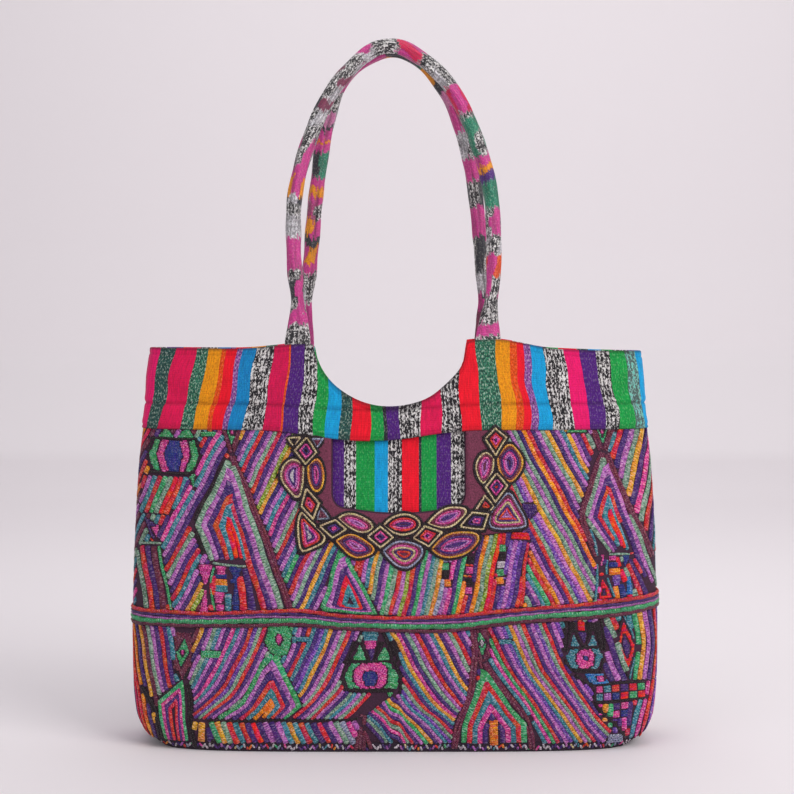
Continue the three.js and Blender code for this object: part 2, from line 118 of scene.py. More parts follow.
# Across and up of the handles' middle lines.
HANDLE_LINES = {
    "front": [
        (-0.99, 0), (-0.975, 0.107), (-0.99, 0.232), (-1.02, 0.371), (-1.01, 0.518), (-0.87, 0.7),
        (-0.606, 0.871), (-0.235, 0.985), (-0.05, 1), (0.1, 0.991), (0.494, 0.897), (0.753, 0.757),
        (0.925, 0.6), (0.99, 0.452), (0.99, 0.287), (0.94, 0.107), (0.93, 0),
    ],
    "back": [
        (-0.985, 0), (-0.965, 0.1), (-0.915, 0.22), (-0.87, 0.357), (-0.806, 0.559), (-0.682, 0.779),
        (-0.506, 0.914), (-0.094, 0.993), (0.207, 0.974), (0.53, 0.86), (0.706, 0.724), (0.832, 0.526),
        (0.906, 0.29), (0.95, 0.1), (0.965, 0),
    ],
}


def hump(distance):
    return np.where(np.abs(distance) < 1, (1 + np.cos(np.pi * np.asarray(distance))) / 2, 0.0)


def ease(value, low, high):
    t = np.clip((np.asarray(value, float) - low) / (high - low), 0, 1)
    return t * t * (3 - 2 * t)


def mix(a, b, t):
    return a + (b - a) * t


def follow(rows, column, at):
    """The value of one column of a table, smooth between its rows."""
    at = np.asarray(at, float)
    place, value = rows[:, 0], rows[:, column]
    n = len(rows)
    before, after = np.maximum(np.arange(n) - 1, 0), np.minimum(np.arange(n) + 1, n - 1)
    slope = (value[after] - value[before]) / (place[after] - place[before])
    to = np.clip(np.searchsorted(place, at, side="right"), 1, n - 1)
    start = to - 1
    span = place[to] - place[start]
    t = np.clip((at - place[start]) / span, 0, 1)
    first = (1 + 2 * t) * (1 - t) ** 2 * value[start] + t * (1 - t) ** 2 * span * slope[start]
    return first + t * t * (3 - 2 * t) * value[to] - t * t * (1 - t) * span * slope[to]


def section(z):
    share = np.asarray(z, float) / RIM_HEIGHT
    return (follow(SECTIONS, 1, share) * BAG_WIDTH / 2, follow(SECTIONS, 2, share) * BAG_DEPTH / 2,
            follow(SECTIONS, 3, share))


# The run of cloth from the middle of a face to its side seam, looked up by height.
LEVELS = np.arange(0, 380.0, 2)
SHARES = np.linspace(0, 1, 513)
EDGE_SHARE = 0.985


def measure_runs():
    half_width, half_depth, square = section(LEVELS)
    angle = np.linspace(0, np.pi / 2, 1025)[None, :]
    power = (2 / square)[:, None]
    x = half_width[:, None] * np.sin(angle) ** power
    y = half_depth[:, None] * np.clip(np.cos(angle), 0, 1) ** power
    run = np.concatenate([np.zeros((len(LEVELS), 1)),
                          np.cumsum(np.hypot(np.diff(x, axis=1), np.diff(y, axis=1)), axis=1)], axis=1)
    length = run[:, -1]
    angle_of_run = np.array([np.interp(SHARES * l, r, angle[0]) for l, r in zip(length, run)])
    run_of_x = np.array([np.interp(SHARES * w, row, r) for w, row, r in zip(half_width, x, run)])
    return length, angle_of_run, run_of_x


LENGTHS, ANGLE_OF_RUN, RUN_OF_X = measure_runs()


def look_up(table, z, share):
    """A value between the rows and columns of a table by height and share."""
    row = np.clip(np.asarray(z, float) / 2, 0, len(LEVELS) - 1.001)
    column = np.clip(np.asarray(share, float), 0, 1) * (len(SHARES) - 1.001)
    i, j = row.astype(int), column.astype(int)
    f, g = row - i, column - j
    top = table[i, j] * (1 - g) + table[i, j + 1] * g
    below = table[i + 1, j] * (1 - g) + table[i + 1, j + 1] * g
    return top * (1 - f) + below * f


def half_length(z):
    return np.interp(z, LEVELS, LENGTHS)


def run_at(x, z):
    """The run of cloth from the middle of the face to where the wall passes x, going on past it."""
    x, z = np.asarray(x, float), np.asarray(z, float)
    half_width = section(z)[0]
    share = np.abs(x) / half_width
    over = np.maximum(share - EDGE_SHARE, 0) * half_width
    return np.sign(x) * (look_up(RUN_OF_X, z, np.minimum(share, EDGE_SHARE)) + 2 * over)


def fold_depth(face, x, z):
    depth = np.zeros(np.broadcast(x, z).shape)
    for across, height, tilt, length, spread, deep in FOLDS[face]:
        dx, dz = x - across * BAG_WIDTH / 2, z - height * RIM_HEIGHT
        c, s = math.cos(math.radians(tilt)), math.sin(math.radians(tilt))
        along = (dx * c + dz * s) / (length * BAG_WIDTH)
        aside = (dz * c - dx * s) / (spread * BAG_WIDTH)
        depth = depth + deep * BAG_DEPTH * hump(along) * hump(aside)
    return depth


def wall(face, run, z, outward=0.0):
    """Points of one face's wall by run and height, at a distance from the middle of its cloth."""
    run, z, outward = np.broadcast_arrays(np.asarray(run, float), np.asarray(z, float),
                                          np.asarray(outward, float))
    half_width, half_depth, square = section(z)
    length = half_length(z)
    side = np.where(run < 0, -1.0, 1.0)
    share = np.minimum(np.abs(run) / length, 1)
    angle = look_up(ANGLE_OF_RUN, z, share)
    x = half_width * np.sin(angle) ** (2 / square)
    y = half_depth * np.clip(np.cos(angle), 0, 1) ** (2 / square)
    nx = (x / half_width) ** (square - 1) / half_width
    ny = (y / half_depth) ** (square - 1) / half_depth
    size = np.hypot(nx, ny)
    from_seam = (length - np.abs(run)) / BAG_WIDTH
    push = outward - fold_depth(face, side * x, z) * ease(from_seam, 0, FOLD_SEAM_FADE)
    facing = -1 if face == "front" else 1
    return np.stack([side * (x + nx / size * push), facing * (y + ny / size * push), z], -1)


def x_at_hem(run):
    """How far across the front a run lies at the height of the hem."""
    return wall("front", run, RIM_HEIGHT - YOKE_DROP)[..., 0]


def hem_height(run):
    """The lower edge of the yokes, which sags near the middle."""
    return RIM_HEIGHT - YOKE_DROP - HEM_SAG * hump((x_at_hem(run) - HEM_SAG_X) / HEM_SAG_REACH)


def rim_height(run):
    """The upper edge of the yokes outside the scoop."""
    x = x_at_hem(run)
    return RIM_HEIGHT + sum(lift * RIM_HEIGHT * hump((x - across * BAG_WIDTH / 2) / (reach * BAG_WIDTH))
                            for across, reach, lift in RIM_LIFTS)


def braid_height(turn):
    """The height of the braid's middle by turn round the bag."""
    return BRAID_LEVEL * follow(BRAID_LINE, 1, turn)


def turn_to_run(turn, z):
    """The face and run for a turn round the bag: the left seam is 0, the front 0.25."""
    turn = np.asarray(turn, float) % 1
    swing = np.where(turn < 0.5, (turn - 0.25) / 0.25, (0.75 - turn) / 0.25)
    return turn < 0.5, swing * half_length(z)


def wall_round(turn, z, outward):
    """Points of the wall by turn and height, on whichever face they lie."""
    is_front, run = turn_to_run(turn, z)
    return np.where(is_front[..., None], wall("front", run, z, outward), wall("back", run, z, outward))


# Colours and materials.


def linear(code):
    """A colour given as an sRGB hex value, turned to linear."""
    parts = [int(code[i:i + 2], 16) / 255 for i in (1, 3, 5)]
    return [p / 12.92 if p <= 0.04045 else ((p + 0.055) / 1.055) ** 2.4 for p in parts]


# Embroidery threads by letter: colour, and how strongly light flecks show in it. The light flecks are painted
# glints of the glossy thread.
THREADS = {
    "R": ("#D23A40", 0.22), "r": ("#E61C2C", 0.15), "O": ("#F08A35", 0.3), "A": ("#E5A043", 0.32),
    "P": ("#47266E", 0.15), "V": ("#7446A6", 0.35), "L": ("#B768B6", 0.38), "K": ("#DE4F9C", 0.4),
    "T": ("#3C8494", 0.35), "B": ("#2C78B8", 0.3), "N": ("#27327E", 0.15), "S": ("#7DA088", 0.4),
    "E": ("#3FA66A", 0.35), "Y": ("#93A838", 0.45), "M": ("#6A2640", 0.15), "D": ("#1B0C14", 0.05),
    "C": ("#D8C392", 0.45), "W": ("#C9BEC8", 0.4), "G": ("#8C94AE", 0.45),
}

# Woven stripes and dyed bands by name: colour, share of tie-dye and share of mixed dark threads.
STRIPES = {
    "pink": ("#E41D56", 0, 0.1), "hot": ("#F0166E", 0, 0.08), "red": ("#F2122B", 0, 0.05),
    "green": ("#2F9E50", 0, 0.22), "leaf": ("#249A4B", 0, 0.2), "sky": ("#15A3DE", 0, 0.12),
    "blue": ("#2787C4", 0, 0.15), "purple": ("#553079", 0, 0.15), "rose": ("#D62A58", 0, 0.12),
    "amber": ("#F39A1D", 0, 0.25), "fine": ("#EE5A2B", 0, 0.35), "teal": ("#2F5650", 0, 0.6),
    "jaspe": ("#3F7A62", 0, 0.8), "twill": ("#9A62A8", 0, 0.6), "dark": ("#2A2832", 0, 0.3),
    "ikat": ("#E6E4E2", 1, 0), "mist": ("#7FC4B8", 0.7, 0), "plum": ("#83405A", 0, 0.15),
    "hotpink": ("#D65C9C", 0.06, 0.16), "pinkish": ("#C24A85", 0.35, 0.3),
    "palepink": ("#D88BB4", 0.1, 0.2), "seagreen": ("#2F8A6C", 0.1, 0.35),
    "mist2": ("#E2DFE4", 0.45, 0.1),
}


def node(tree, kind, settings=None, links=None):
    """Adds a node with its settings, its input values and what feeds its inputs."""
    made = tree.nodes.new(kind)
    for name, value in (settings or {}).items():
        if hasattr(made, name):
            setattr(made, name, value)
        else:
            made.inputs[name].default_value = value
    for socket, source in (links or {}).items():
        tree.links.new(source, made.inputs[socket])
    return made


def material(name):
    """An empty material with its shader, whose own sockets take what is the same all over."""
    made = bpy.data.materials.new(name)
    made.use_nodes = True
    return made, made.node_tree, made.node_tree.nodes["Principled BSDF"]


def maths(tree, operation, *values, clamp=False):
    """A maths node's result, from numbers or sockets."""
    made = tree.nodes.new("ShaderNodeMath")
    made.operation = operation
    made.use_clamp = clamp
    for i, value in enumerate(values):
        if isinstance(value, (int, float)):
            made.inputs[i].default_value = value
        else:
            tree.links.new(value, made.inputs[i])
    return made.outputs[0]


def blend_colours(tree, kind, factor, a, b):
    """Two colours joined by a blend of the given kind."""
    made = tree.nodes.new("ShaderNodeMix")
    made.data_type = "RGBA"
    made.blend_type = kind
    for socket, value in ((0, factor), (6, a), (7, b)):
        if isinstance(value, (int, float)):
            made.inputs[socket].default_value = value
        elif isinstance(value, (list, tuple)):
            made.inputs[socket].default_value = (*value[:3], 1)
        else:
            tree.links.new(value, made.inputs[socket])
    return made.outputs[2]


def ramp(tree, source, stops):
    """A value turned to another by stops of place and value."""
    made = tree.nodes.new("ShaderNodeValToRGB")
    first, last = stops[0], stops[-1]
    for element, (at, value) in zip(made.color_ramp.elements, (first, last)):
        element.position, element.color = at, (value, value, value, 1)
    for at, value in stops[1:-1]:
        made.color_ramp.elements.new(at).color = (value, value, value, 1)
    tree.links.new(source, made.inputs[0])
    return made.outputs[0]


def scaled(tree, source, scale, offset=(0, 0, 0)):
    """A vector scaled on each axis and moved."""
    made = node(tree, "ShaderNodeMapping", None, {"Vector": source})
    made.inputs["Scale"].default_value = scale
    made.inputs["Location"].default_value = offset
    return made.outputs[0]


def attribute(tree, name):
    """A node that reads one of the mesh's attributes."""
    return node(tree, "ShaderNodeAttribute", {"attribute_name": name})


# Lengths of one slanted stitch and of one light or dark fleck along a thread.
STITCH_MM = 2.1
FLECK_MM = 1.15
THREAD_SHEEN = 0.12
HANDLE_ROUGHNESS, HANDLE_SPECULAR = 0.36, 0.55


def thread_material(name, roughness, sheen):
    """Stranded cotton laid in rows of short stitches: soft gloss, slanted grooves darkened with painted
    shade, light flecks that are painted glints.
    """
    made, tree, shader = material(name)
    colour = attribute(tree, "thread")
    stitch = attribute(tree, "stitch").outputs["Vector"]
    parts = node(tree, "ShaderNodeSeparateXYZ", None, {0: stitch})
    along, across = parts.outputs[0], parts.outputs[1]
    slant = maths(tree, "ADD", along, maths(tree, "MULTIPLY", across, 0.9))
    wave = maths(tree, "SINE", maths(tree, "MULTIPLY", slant, 2 * math.pi / STITCH_MM))
    flecks = node(tree, "ShaderNodeTexNoise", {"Scale": 1.0, "Detail": 2.0},
                  {"Vector": scaled(tree, stitch, (1 / FLECK_MM, 1.0, 7))})
    uneven = flecks.outputs[0]
    coarse = node(tree, "ShaderNodeTexNoise", {"Scale": 1.0, "Detail": 1.0},
                  {"Vector": scaled(tree, stitch, (0.12, 0.4, 5))}).outputs[0]
    # Light flecks, where the noise is high, are painted glints of the glossy thread; dark flecks, where it is
    # low, are the ground between stitches.
    light = ramp(tree, uneven, [(0.54, 0), (0.64, 1)])
    dark = ramp(tree, uneven, [(0.41, 1), (0.47, 0)])
    strength = colour.outputs["Alpha"]
    # Painted shade in the slanted stitch grooves, from the wave, on top of a coarse random tone.
    shade = maths(tree, "ADD", maths(tree, "MULTIPLY", wave, 0.08),
                  maths(tree, "MULTIPLY", maths(tree, "SUBTRACT", coarse, 0.5), 0.9))
    base = blend_colours(tree, "MULTIPLY", 1.0, colour.outputs["Color"],
                         ramp(tree, maths(tree, "ADD", shade, 0.5), [(0, 0.66), (1, 1.3)]))
    base = blend_colours(tree, "SOFT_LIGHT", 0.55, base, flecks.outputs["Color"])
    # Painted glints: light flecks mixed towards near-white, as strongly as the thread's fleck strength.
    base = blend_colours(tree, "MIX", maths(tree, "MULTIPLY", light, strength), base,
                         linear("#E8DCE2"))
    gaps = maths(tree, "MULTIPLY", dark, maths(tree, "ADD", maths(tree, "MULTIPLY", strength, 1.2), 0.12))
    base = blend_colours(tree, "MIX", gaps, base, linear("#2B1626"))
    rich = node(tree, "ShaderNodeHueSaturation", {"Saturation": 1.06, "Value": 1.0},
                {"Color": base, "Hue": maths(tree, "ADD", maths(tree, "MULTIPLY", coarse, 0.11), 0.445)})
    tree.links.new(rich.outputs[0], shader.inputs["Base Color"])
    bump = node(tree, "ShaderNodeBump", {"Strength": 0.75, "Distance": 0.0006},
                {"Height": maths(tree, "ADD", maths(tree, "MULTIPLY", wave, 0.6),
                                 maths(tree, "MULTIPLY", uneven, 2.2))})
    tree.links.new(bump.outputs[0], shader.inputs["Normal"])
    shader.inputs["Roughness"].default_value = roughness
    shader.inputs["Specular IOR Level"].default_value = 0.3
    shader.inputs["Sheen Weight"].default_value = sheen
    shader.inputs["Sheen Roughness"].default_value = 0.4
    return made


def woven_material(name, roughness=0.75, specular=0.3):
    """Warp-faced plain weave: fine ribs along the stripes, tie-dyed stripes broken into black dashes."""
    made, tree, shader = material(name)
    colour = attribute(tree, "stripe")
    kind = node(tree, "ShaderNodeSeparateXYZ", None, {0: attribute(tree, "dye").outputs["Vector"]})
    cloth = attribute(tree, "cloth").outputs["Vector"]
    dash = node(tree, "ShaderNodeTexNoise", {"Scale": 1.0, "Detail": 2.0, "Roughness": 0.6},
                {"Vector": scaled(tree, cloth, (1 / 1.15, 1 / 2.5, 1))}).outputs[0]
    bands = node(tree, "ShaderNodeTexNoise", {"Scale": 1.0, "Detail": 1.0},
                 {"Vector": scaled(tree, cloth, (1 / 7, 1 / 7, 3))}).outputs[0]
    place = node(tree, "ShaderNodeSeparateXYZ", None, {0: cloth})
    strand = maths(tree, "SINE", maths(tree, "MULTIPLY", place.outputs[0], 2 * math.pi / 3.4))
    tied = maths(tree, "ADD", maths(tree, "ADD", dash, maths(tree, "MULTIPLY", strand, 0.05)),
                 maths(tree, "MULTIPLY", maths(tree, "SUBTRACT", bands, 0.5), 0.42))
    black = ramp(tree, tied, [(0.48, 1), (0.53, 0)])
    grey = ramp(tree, tied, [(0.53, 0.8), (0.62, 0)])
    fleck = node(tree, "ShaderNodeTexNoise", {"Scale": 1.0, "Detail": 2.0},
                 {"Vector": scaled(tree, cloth, (1 / 1.1, 1 / 2.3, 1), (40, 7, 0))})
    mixed = ramp(tree, fleck.outputs[0], [(0.42, 1), (0.5, 0)])
    lit = ramp(tree, fleck.outputs[0], [(0.55, 0), (0.62, 1)])
    warp = node(tree, "ShaderNodeTexNoise", {"Scale": 1.0, "Detail": 3.0},
                {"Vector": scaled(tree, cloth, (1 / 0.9, 1 / 14, 1), (3, 90, 0))}).outputs[0]
    base = blend_colours(tree, "SOFT_LIGHT", 0.35, colour.outputs["Color"], fleck.outputs["Color"])
    base = blend_colours(tree, "MIX", maths(tree, "MULTIPLY", grey, kind.outputs[0]), base, linear("#8B8586"))
    base = blend_colours(tree, "MIX", maths(tree, "MULTIPLY", black, kind.outputs[0]), base,
                         linear("#17151A"))
    base = blend_colours(tree, "MIX", maths(tree, "MULTIPLY", mixed, kind.outputs[1]), base,
                         linear("#1B2426"))
    lit_share = maths(tree, "MULTIPLY", lit, maths(tree, "MULTIPLY", kind.outputs[1], 0.6))
    base = blend_colours(tree, "MIX", lit_share, base, linear("#D9E0D2"))
    base = blend_colours(tree, "MULTIPLY", 1.0, base, ramp(tree, warp, [(0.3, 0.72), (0.7, 1.12)]))
    # Painted shade: the mesh's shade attribute darkens the colour in grooves, creases and along edges.
    shadow = attribute(tree, "shade").outputs["Vector"]
    shade = node(tree, "ShaderNodeSeparateXYZ", None, {0: shadow}).outputs[0]
    base = blend_colours(tree, "MIX", shade, base, linear("#1A0E16"))
    rich = node(tree, "ShaderNodeHueSaturation", {"Saturation": 1.15, "Value": 0.98}, {"Color": base})
    tree.links.new(rich.outputs[0], shader.inputs["Base Color"])
    rib = maths(tree, "SINE", maths(tree, "MULTIPLY", place.outputs[1], 2 * math.pi / 1.9))
    weave = node(tree, "ShaderNodeTexNoise", {"Scale": 1.0, "Detail": 2.0},
                 {"Vector": scaled(tree, cloth, (1 / 0.9, 1 / 1.8, 1))}).outputs[0]
    bump = node(tree, "ShaderNodeBump", {"Strength": 0.8, "Distance": 0.0007},
                {"Height": maths(tree, "ADD", weave, maths(tree, "MULTIPLY", rib, 0.12))})
    tree.links.new(bump.outputs[0], shader.inputs["Normal"])
    shader.inputs["Roughness"].default_value = roughness
    shader.inputs["Specular IOR Level"].default_value = specular
    shader.inputs["Sheen Weight"].default_value = 0.06
    return made


def ground_material(name, code):
    """Dark plain-woven cotton under the stitches: matt, with a fine uneven weave."""
    made, tree, shader = material(name)
    place = node(tree, "ShaderNodeTexCoord").outputs["Object"]
    weave = node(tree, "ShaderNodeTexNoise", {"Scale": 900.0, "Detail": 2.0}, {"Vector": place}).outputs[0]
    tone = blend_colours(tree, "MULTIPLY", 1.0, linear(code), ramp(tree, weave, [(0.3, 0.55), (0.7, 1.35)]))
    tree.links.new(tone, shader.inputs["Base Color"])
    bump = node(tree, "ShaderNodeBump", {"Strength": 0.5, "Distance": 0.0004}, {"Height": weave})
    tree.links.new(bump.outputs[0], shader.inputs["Normal"])
    shader.inputs["Roughness"].default_value = 0.9
    return made


# Pieces: grids laid along the wall, and rows of thread.


def lay_grid(columns, rows):
    """A flat grid as a mesh, with the column and row of each corner."""
    bm = bmesh.new()
    bmesh.ops.create_grid(bm, x_segments=columns, y_segments=rows, size=1)
    mesh = bpy.data.meshes.new("grid")
    bm.to_mesh(mesh)
    bm.free()
    flat = np.empty(len(mesh.vertices) * 3)
    mesh.vertices.foreach_get("co", flat)
    flat = flat.reshape(-1, 3)
    column = np.rint((flat[:, 0] + 1) / 2 * columns).astype(int)
    row = np.rint((flat[:, 1] + 1) / 2 * rows).astype(int)
    return mesh, column, row


def set_places(mesh, places_mm):
    """Moves a mesh's corners to places in mm."""
    mesh.vertices.foreach_set("co", (np.asarray(places_mm, np.float32) * MM).ravel())
    mesh.update()


def set_corner_attribute(mesh, name, kind, values):
    """An attribute on the corners of faces, one row of values for each face."""
    made = mesh.attributes.new(name, kind, "CORNER")
    counts = np.empty(len(mesh.polygons), int)
    mesh.polygons.foreach_get("loop_total", counts)
    spread = np.repeat(np.asarray(values, np.float32), counts, axis=0)
    made.data.foreach_set("color" if kind == "FLOAT_COLOR" else "vector", spread.ravel())


def set_point_attribute(mesh, name, kind, values):
    """An attribute on the points of a mesh."""
    made = mesh.attributes.new(name, kind, "POINT")
    made.data.foreach_set("color" if kind == "FLOAT_COLOR" else "vector",
                          np.asarray(values, np.float32).ravel())


def sew(mesh, drop=None, fill=False, distance=1e-6):
    """Merges corners that meet, after taking out the faces that drop names, and closes open ends."""
    bm = bmesh.new()
    bm.from_mesh(mesh)
    bm.faces.ensure_lookup_table()
    if drop is not None and len(drop):
        bmesh.ops.delete(bm, geom=[bm.faces[i] for i in drop], context="FACES")
    bmesh.ops.remove_doubles(bm, verts=bm.verts, dist=distance)
    bmesh.ops.dissolve_degenerate(bm, dist=distance, edges=bm.edges)
    if fill:
        bmesh.ops.holes_fill(bm, edges=[e for e in bm.edges if e.is_boundary], sides=0)
    bm.to_mesh(mesh)
    bm.free()
    mesh.update()


def face_outwards(mesh):
    """Turns a closed mesh's faces to look out."""
    bm = bmesh.new()
    bm.from_mesh(mesh)
    bmesh.ops.recalc_face_normals(bm, faces=bm.faces)
    bm.to_mesh(mesh)
    bm.free()


def piece(name, mesh, finish, replaces=()):
    """Makes a mesh a piece of the bag that rides on its one body."""
    mesh.name = name
    mesh.materials.append(finish)
    mesh.shade_smooth()
    made = bpy.data.objects.new(name, mesh)
    bpy.context.scene.collection.objects.link(made)
    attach(made, "root")
    if replaces:
        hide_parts(*replaces)
    return made


def inside(points, polygon):
    """Whether each point lies in a polygon."""
    px, pz = points[:, 0], points[:, 1]
    found = np.zeros(len(points), bool)
    ax, az = polygon[-1]
    for bx, bz in polygon:
        crosses = (az > pz) != (bz > pz)
        with np.errstate(divide="ignore", invalid="ignore"):
            at = (bx - ax) * (pz - az) / (bz - az) + ax
        found ^= crosses & (px < at)
        ax, az = bx, bz
    return found


CHART_MM = 0.85
CHART_MIDDLE, CHART_FLOOR = 395, 752


def chart(points):
    """Places read off the pattern's chart, 0.85 mm a step across and down, as x and height."""
    table = np.asarray(points, float)
    return np.stack([(table[..., 0] - CHART_MIDDLE) * CHART_MM, (CHART_FLOOR - table[..., 1]) * CHART_MM], -1)


def resample(line, step):
    """A line with points at even steps between its corners, which stay."""
    out = [line[:1]]
    for a, b in zip(line[:-1], line[1:]):
        n = max(1, int(np.ceil(np.hypot(*(b - a)[:2]) / step)))
        out.append(a + (b - a) * (np.arange(1, n + 1) / n)[:, None])
    return np.concatenate(out)


def between(a, b, n, fill=1.17, least=2.6, most=8):
    """Rows from one guide line to another that has as many corners, each with its widths."""
    a, b = np.asarray(a, float), np.asarray(b, float)
    lines = [a + (b - a) * t for t in (np.linspace(0, 1, n) if n > 1 else [0.5])]
    apart = (b - a) / max(n - 1, 1)
    wide = []
    for line in lines:
        d = np.gradient(line, axis=0)
        d /= np.maximum(np.hypot(d[:, 0], d[:, 1]), 1e-9)[:, None]
        wide.append(np.clip(np.abs(apart[:, 0] * d[:, 1] - apart[:, 1] * d[:, 0]) * fill, least, most))
    return [np.column_stack([line, w]) for line, w in zip(lines, wide)]


def rounded(line, cut=0.28):
    """A line whose inner corners are cut once, so that it bends in a curve."""
    if len(line) < 3:
        return line
    out = [line[0]]
    for before, here, after in zip(line[:-2], line[1:-1], line[2:]):
        out += [here + (before - here) * cut, here + (after - here) * cut]
    return np.array(out + [line[-1]])


class Stitchwork:
    """Rows of thread on one face, each kept to its own patch of the pattern."""

    # Step in mm at which a row is tested, how many tested points there are for each one that stays
    # on straight stretches, and the fewest points that make a row.
    STEP = 1.0
    KEEP = 3
    SHORTEST = 3
    # A row's cross section, from its one edge over the top to the other.
    RING = [(-1.06, -0.15), (-0.84, 0.72), (0.0, 1.0), (0.84, 0.72), (1.06, -0.15)]

    def __init__(self, face, seed, mirror=False, lift=0.0, bounds=None):
        self.face, self.mirror, self.lift, self.bounds = face, mirror, lift, bounds
        self.random = np.random.default_rng(seed)
        self.on_collar = False
        self.patches, self.rows = [], []

    def patch(self, outline, lines, letters, width, height=1.1, closed=False, curved=False):
        """A patch of rows, chart lines in a chart outline. Later patches lie over earlier ones."""
        self.patches.append((None if outline is None else np.asarray(outline, float), lines, letters,
                             width, height, closed, curved))

    def lay(self):
        """Cuts each row where its patch ends or a later patch begins, and places it on the wall."""
        for index, (outline, lines, letters, width, height, closed, curved) in enumerate(self.patches):
            later = [p[0] for p in self.patches[index + 1:] if p[0] is not None]
            for line, letter in zip(lines, letters):
                if letter == " ":
                    continue
                line = np.asarray(line, float)
                if line.shape[1] == 2:
                    line = np.column_stack([line, np.full(len(line), float(width))])
                if closed:
                    line = np.vstack([line, line[:1]])
                if curved:
                    line = rounded(rounded(line))
                fine = resample(line, self.STEP / CHART_MM)
                fine, wide = fine[:, :2], fine[:, 2]
                keep = np.ones(len(fine), bool) if outline is None else inside(fine, outline)
                for shape in later:
                    low, high = shape.min(0), shape.max(0)
                    near = ((fine > low) & (fine < high)).all(1)
                    if near.any():
                        keep[near] &= ~inside(fine[near], shape)
                if not self.on_collar:
                    keep &= self.free(fine)
                self.cut(fine, keep, letter, wide, height)

    def free(self, fine):
        """Where rows may lie: below the yoke, off the braid, the collar and the neck."""
        flat = chart(fine)
        x = -flat[:, 0] if self.mirror else flat[:, 0]
        z = flat[:, 1]
        turn = 0.25 + run_at(x, z) / half_length(z) / 4
        turn = 1 - turn if self.face == "back" else turn
        clear = (z > 1) & (z < hem_height(run_at(x, 270)) + 1) & (np.abs(z - braid_height(turn)) > 6)
        if self.bounds is not None:
            clear &= ~inside(flat, self.bounds)
        return clear

    def cut(self, fine, keep, letter, width, height):
        """Places each stretch of a row that is kept."""
        start = None
        for i, kept in enumerate(list(keep) + [False]):
            if kept and start is None:
                start = i
            elif not kept and start is not None:
                if i - start >= self.SHORTEST:
                    self.place(fine[start:i], letter, width[start:i], height)
                start = None

    def place(self, line, letter, width, height):
        """Adds one row with its hand-made waver, its swelling width and its own tone."""
        turns = np.zeros(len(line), bool)
        if len(line) > 2:
            d = np.diff(line, axis=0)
            d /= np.maximum(np.hypot(d[:, 0], d[:, 1]), 1e-9)[:, None]
            turns[1:-1] = (d[1:] * d[:-1]).sum(1) < 0.97
        kept = turns | (np.arange(len(line)) % self.KEEP == 0)
        kept[[0, -1]] = True
        line, width = line[kept], width[kept]
        ends = [line[0] + (line[1] - line[0]) * self.tip(line[0], line[1]),
                line[-1] + (line[-2] - line[-1]) * self.tip(line[-1], line[-2])]
        line = np.vstack([line[:1], ends[:1], line[1:-1], ends[1:], line[-1:]])
        width = np.r_[width[:1], width[:1], width[1:-1], width[-1:], width[-1:]]
        flat = chart(line)
        if self.mirror:
            flat[:, 0] *= -1
        x, z = flat[:, 0], flat[:, 1]
        x = x + 0.45 * np.sin(z / 7 + 1) + 0.3 * np.sin(x / 5 + z / 11)
        z = z + 0.4 * np.sin(x / 8 + 2) + 0.25 * np.sin(z / 6 - x / 9)
        phase = self.random.uniform(0, 6.28, 2)
        reach = np.cumsum(np.r_[0, np.hypot(np.diff(x), np.diff(z))])
        swell = 1 + 0.08 * np.sin(reach / 3.1 + phase[0]) + 0.06 * np.sin(reach / 7.7 + phase[1])
        tone = self.random.uniform(0.88, 1.12)
        self.rows.append((x, z, reach, width * CHART_MM * swell * self.random.uniform(0.92, 1.04),
                          height * self.random.uniform(0.88, 1.1), letter, tone))

    @staticmethod
    def tip(a, b):
        """The share of the way from a row's end to its next point at which it is at full width."""
        return min(0.45, 0.7 / max(np.hypot(*(b - a)), 0.1))

    def mesh(self):
        """All rows as closed flattened threads, laid end to end in one grid that is then cut apart."""
        self.lay()
        ring = np.array(self.RING + self.RING[:1])
        places, colours, stitches, ends = [], [], [], []
        for x, z, reach, width, height, letter, tone in self.rows:
            n = len(x)
            run = run_at(x, z)
            on = wall(self.face, run, z, self.lift)
            out = wall(self.face, run, z, self.lift + 1) - on
            along = np.gradient(on, axis=0) if n > 1 else on
            along /= np.maximum(np.linalg.norm(along, axis=1), 1e-9)[:, None]
            side = np.cross(along, out)
            side /= np.maximum(np.linalg.norm(side, axis=1), 1e-9)[:, None]
            steps = np.diff(on, axis=0)
            steps /= np.maximum(np.linalg.norm(steps, axis=1), 1e-9)[:, None]
            turn = np.ones(n)
            if n > 2:
                half = np.sqrt(np.clip((1 + (steps[1:] * steps[:-1]).sum(1)) / 2, 0.2, 1))
                turn[1:-1] = np.minimum(1 / half, 1.6)
            taper = np.ones(n)
            taper[[0, -1]] = 0.0
            taper[[1, -2]] = 0.9
            wide = (width / 2 * turn * taper)[:, None, None]
            high = (height * np.maximum(taper, 0.15))[:, None, None]
            places.append(on[:, None] + side[:, None] * ring[None, :, :1] * wide
                          + out[:, None] * np.where(taper[:, None, None] > 0, ring[None, :, 1:], 0.2) * high)
            code, fleck = THREADS[letter]
            colours.append(np.broadcast_to([*(c * tone for c in linear(code)), fleck], (n, len(ring), 4)))
            seed = self.random.uniform(0, 50)
            stitches.append(np.stack([np.broadcast_to(reach[:, None], (n, len(ring))),
                                      np.broadcast_to(ring[None, :, 0], (n, len(ring))),
                                      np.full((n, len(ring)), seed)], -1))
            ends.append(n)
        places, colours, stitches = (np.concatenate(v) for v in (places, colours, stitches))
        total, sides = len(places), len(ring) - 1
        mesh, column, row = lay_grid(total - 1, sides)
        set_places(mesh, places[column, row])
        set_point_attribute(mesh, "thread", "FLOAT_COLOR", colours[column, row])
        set_point_attribute(mesh, "stitch", "FLOAT_VECTOR", stitches[column, row])
        gaps = set((np.cumsum(ends)[:-1] - 1).tolist())
        starts = np.empty(len(mesh.loops), int)
        mesh.loops.foreach_get("vertex_index", starts)
        lowest = column[starts].reshape(-1, 4).min(1)
        sew(mesh, drop=[i for i, c in enumerate(lowest.tolist()) if c in gaps])
        return mesh


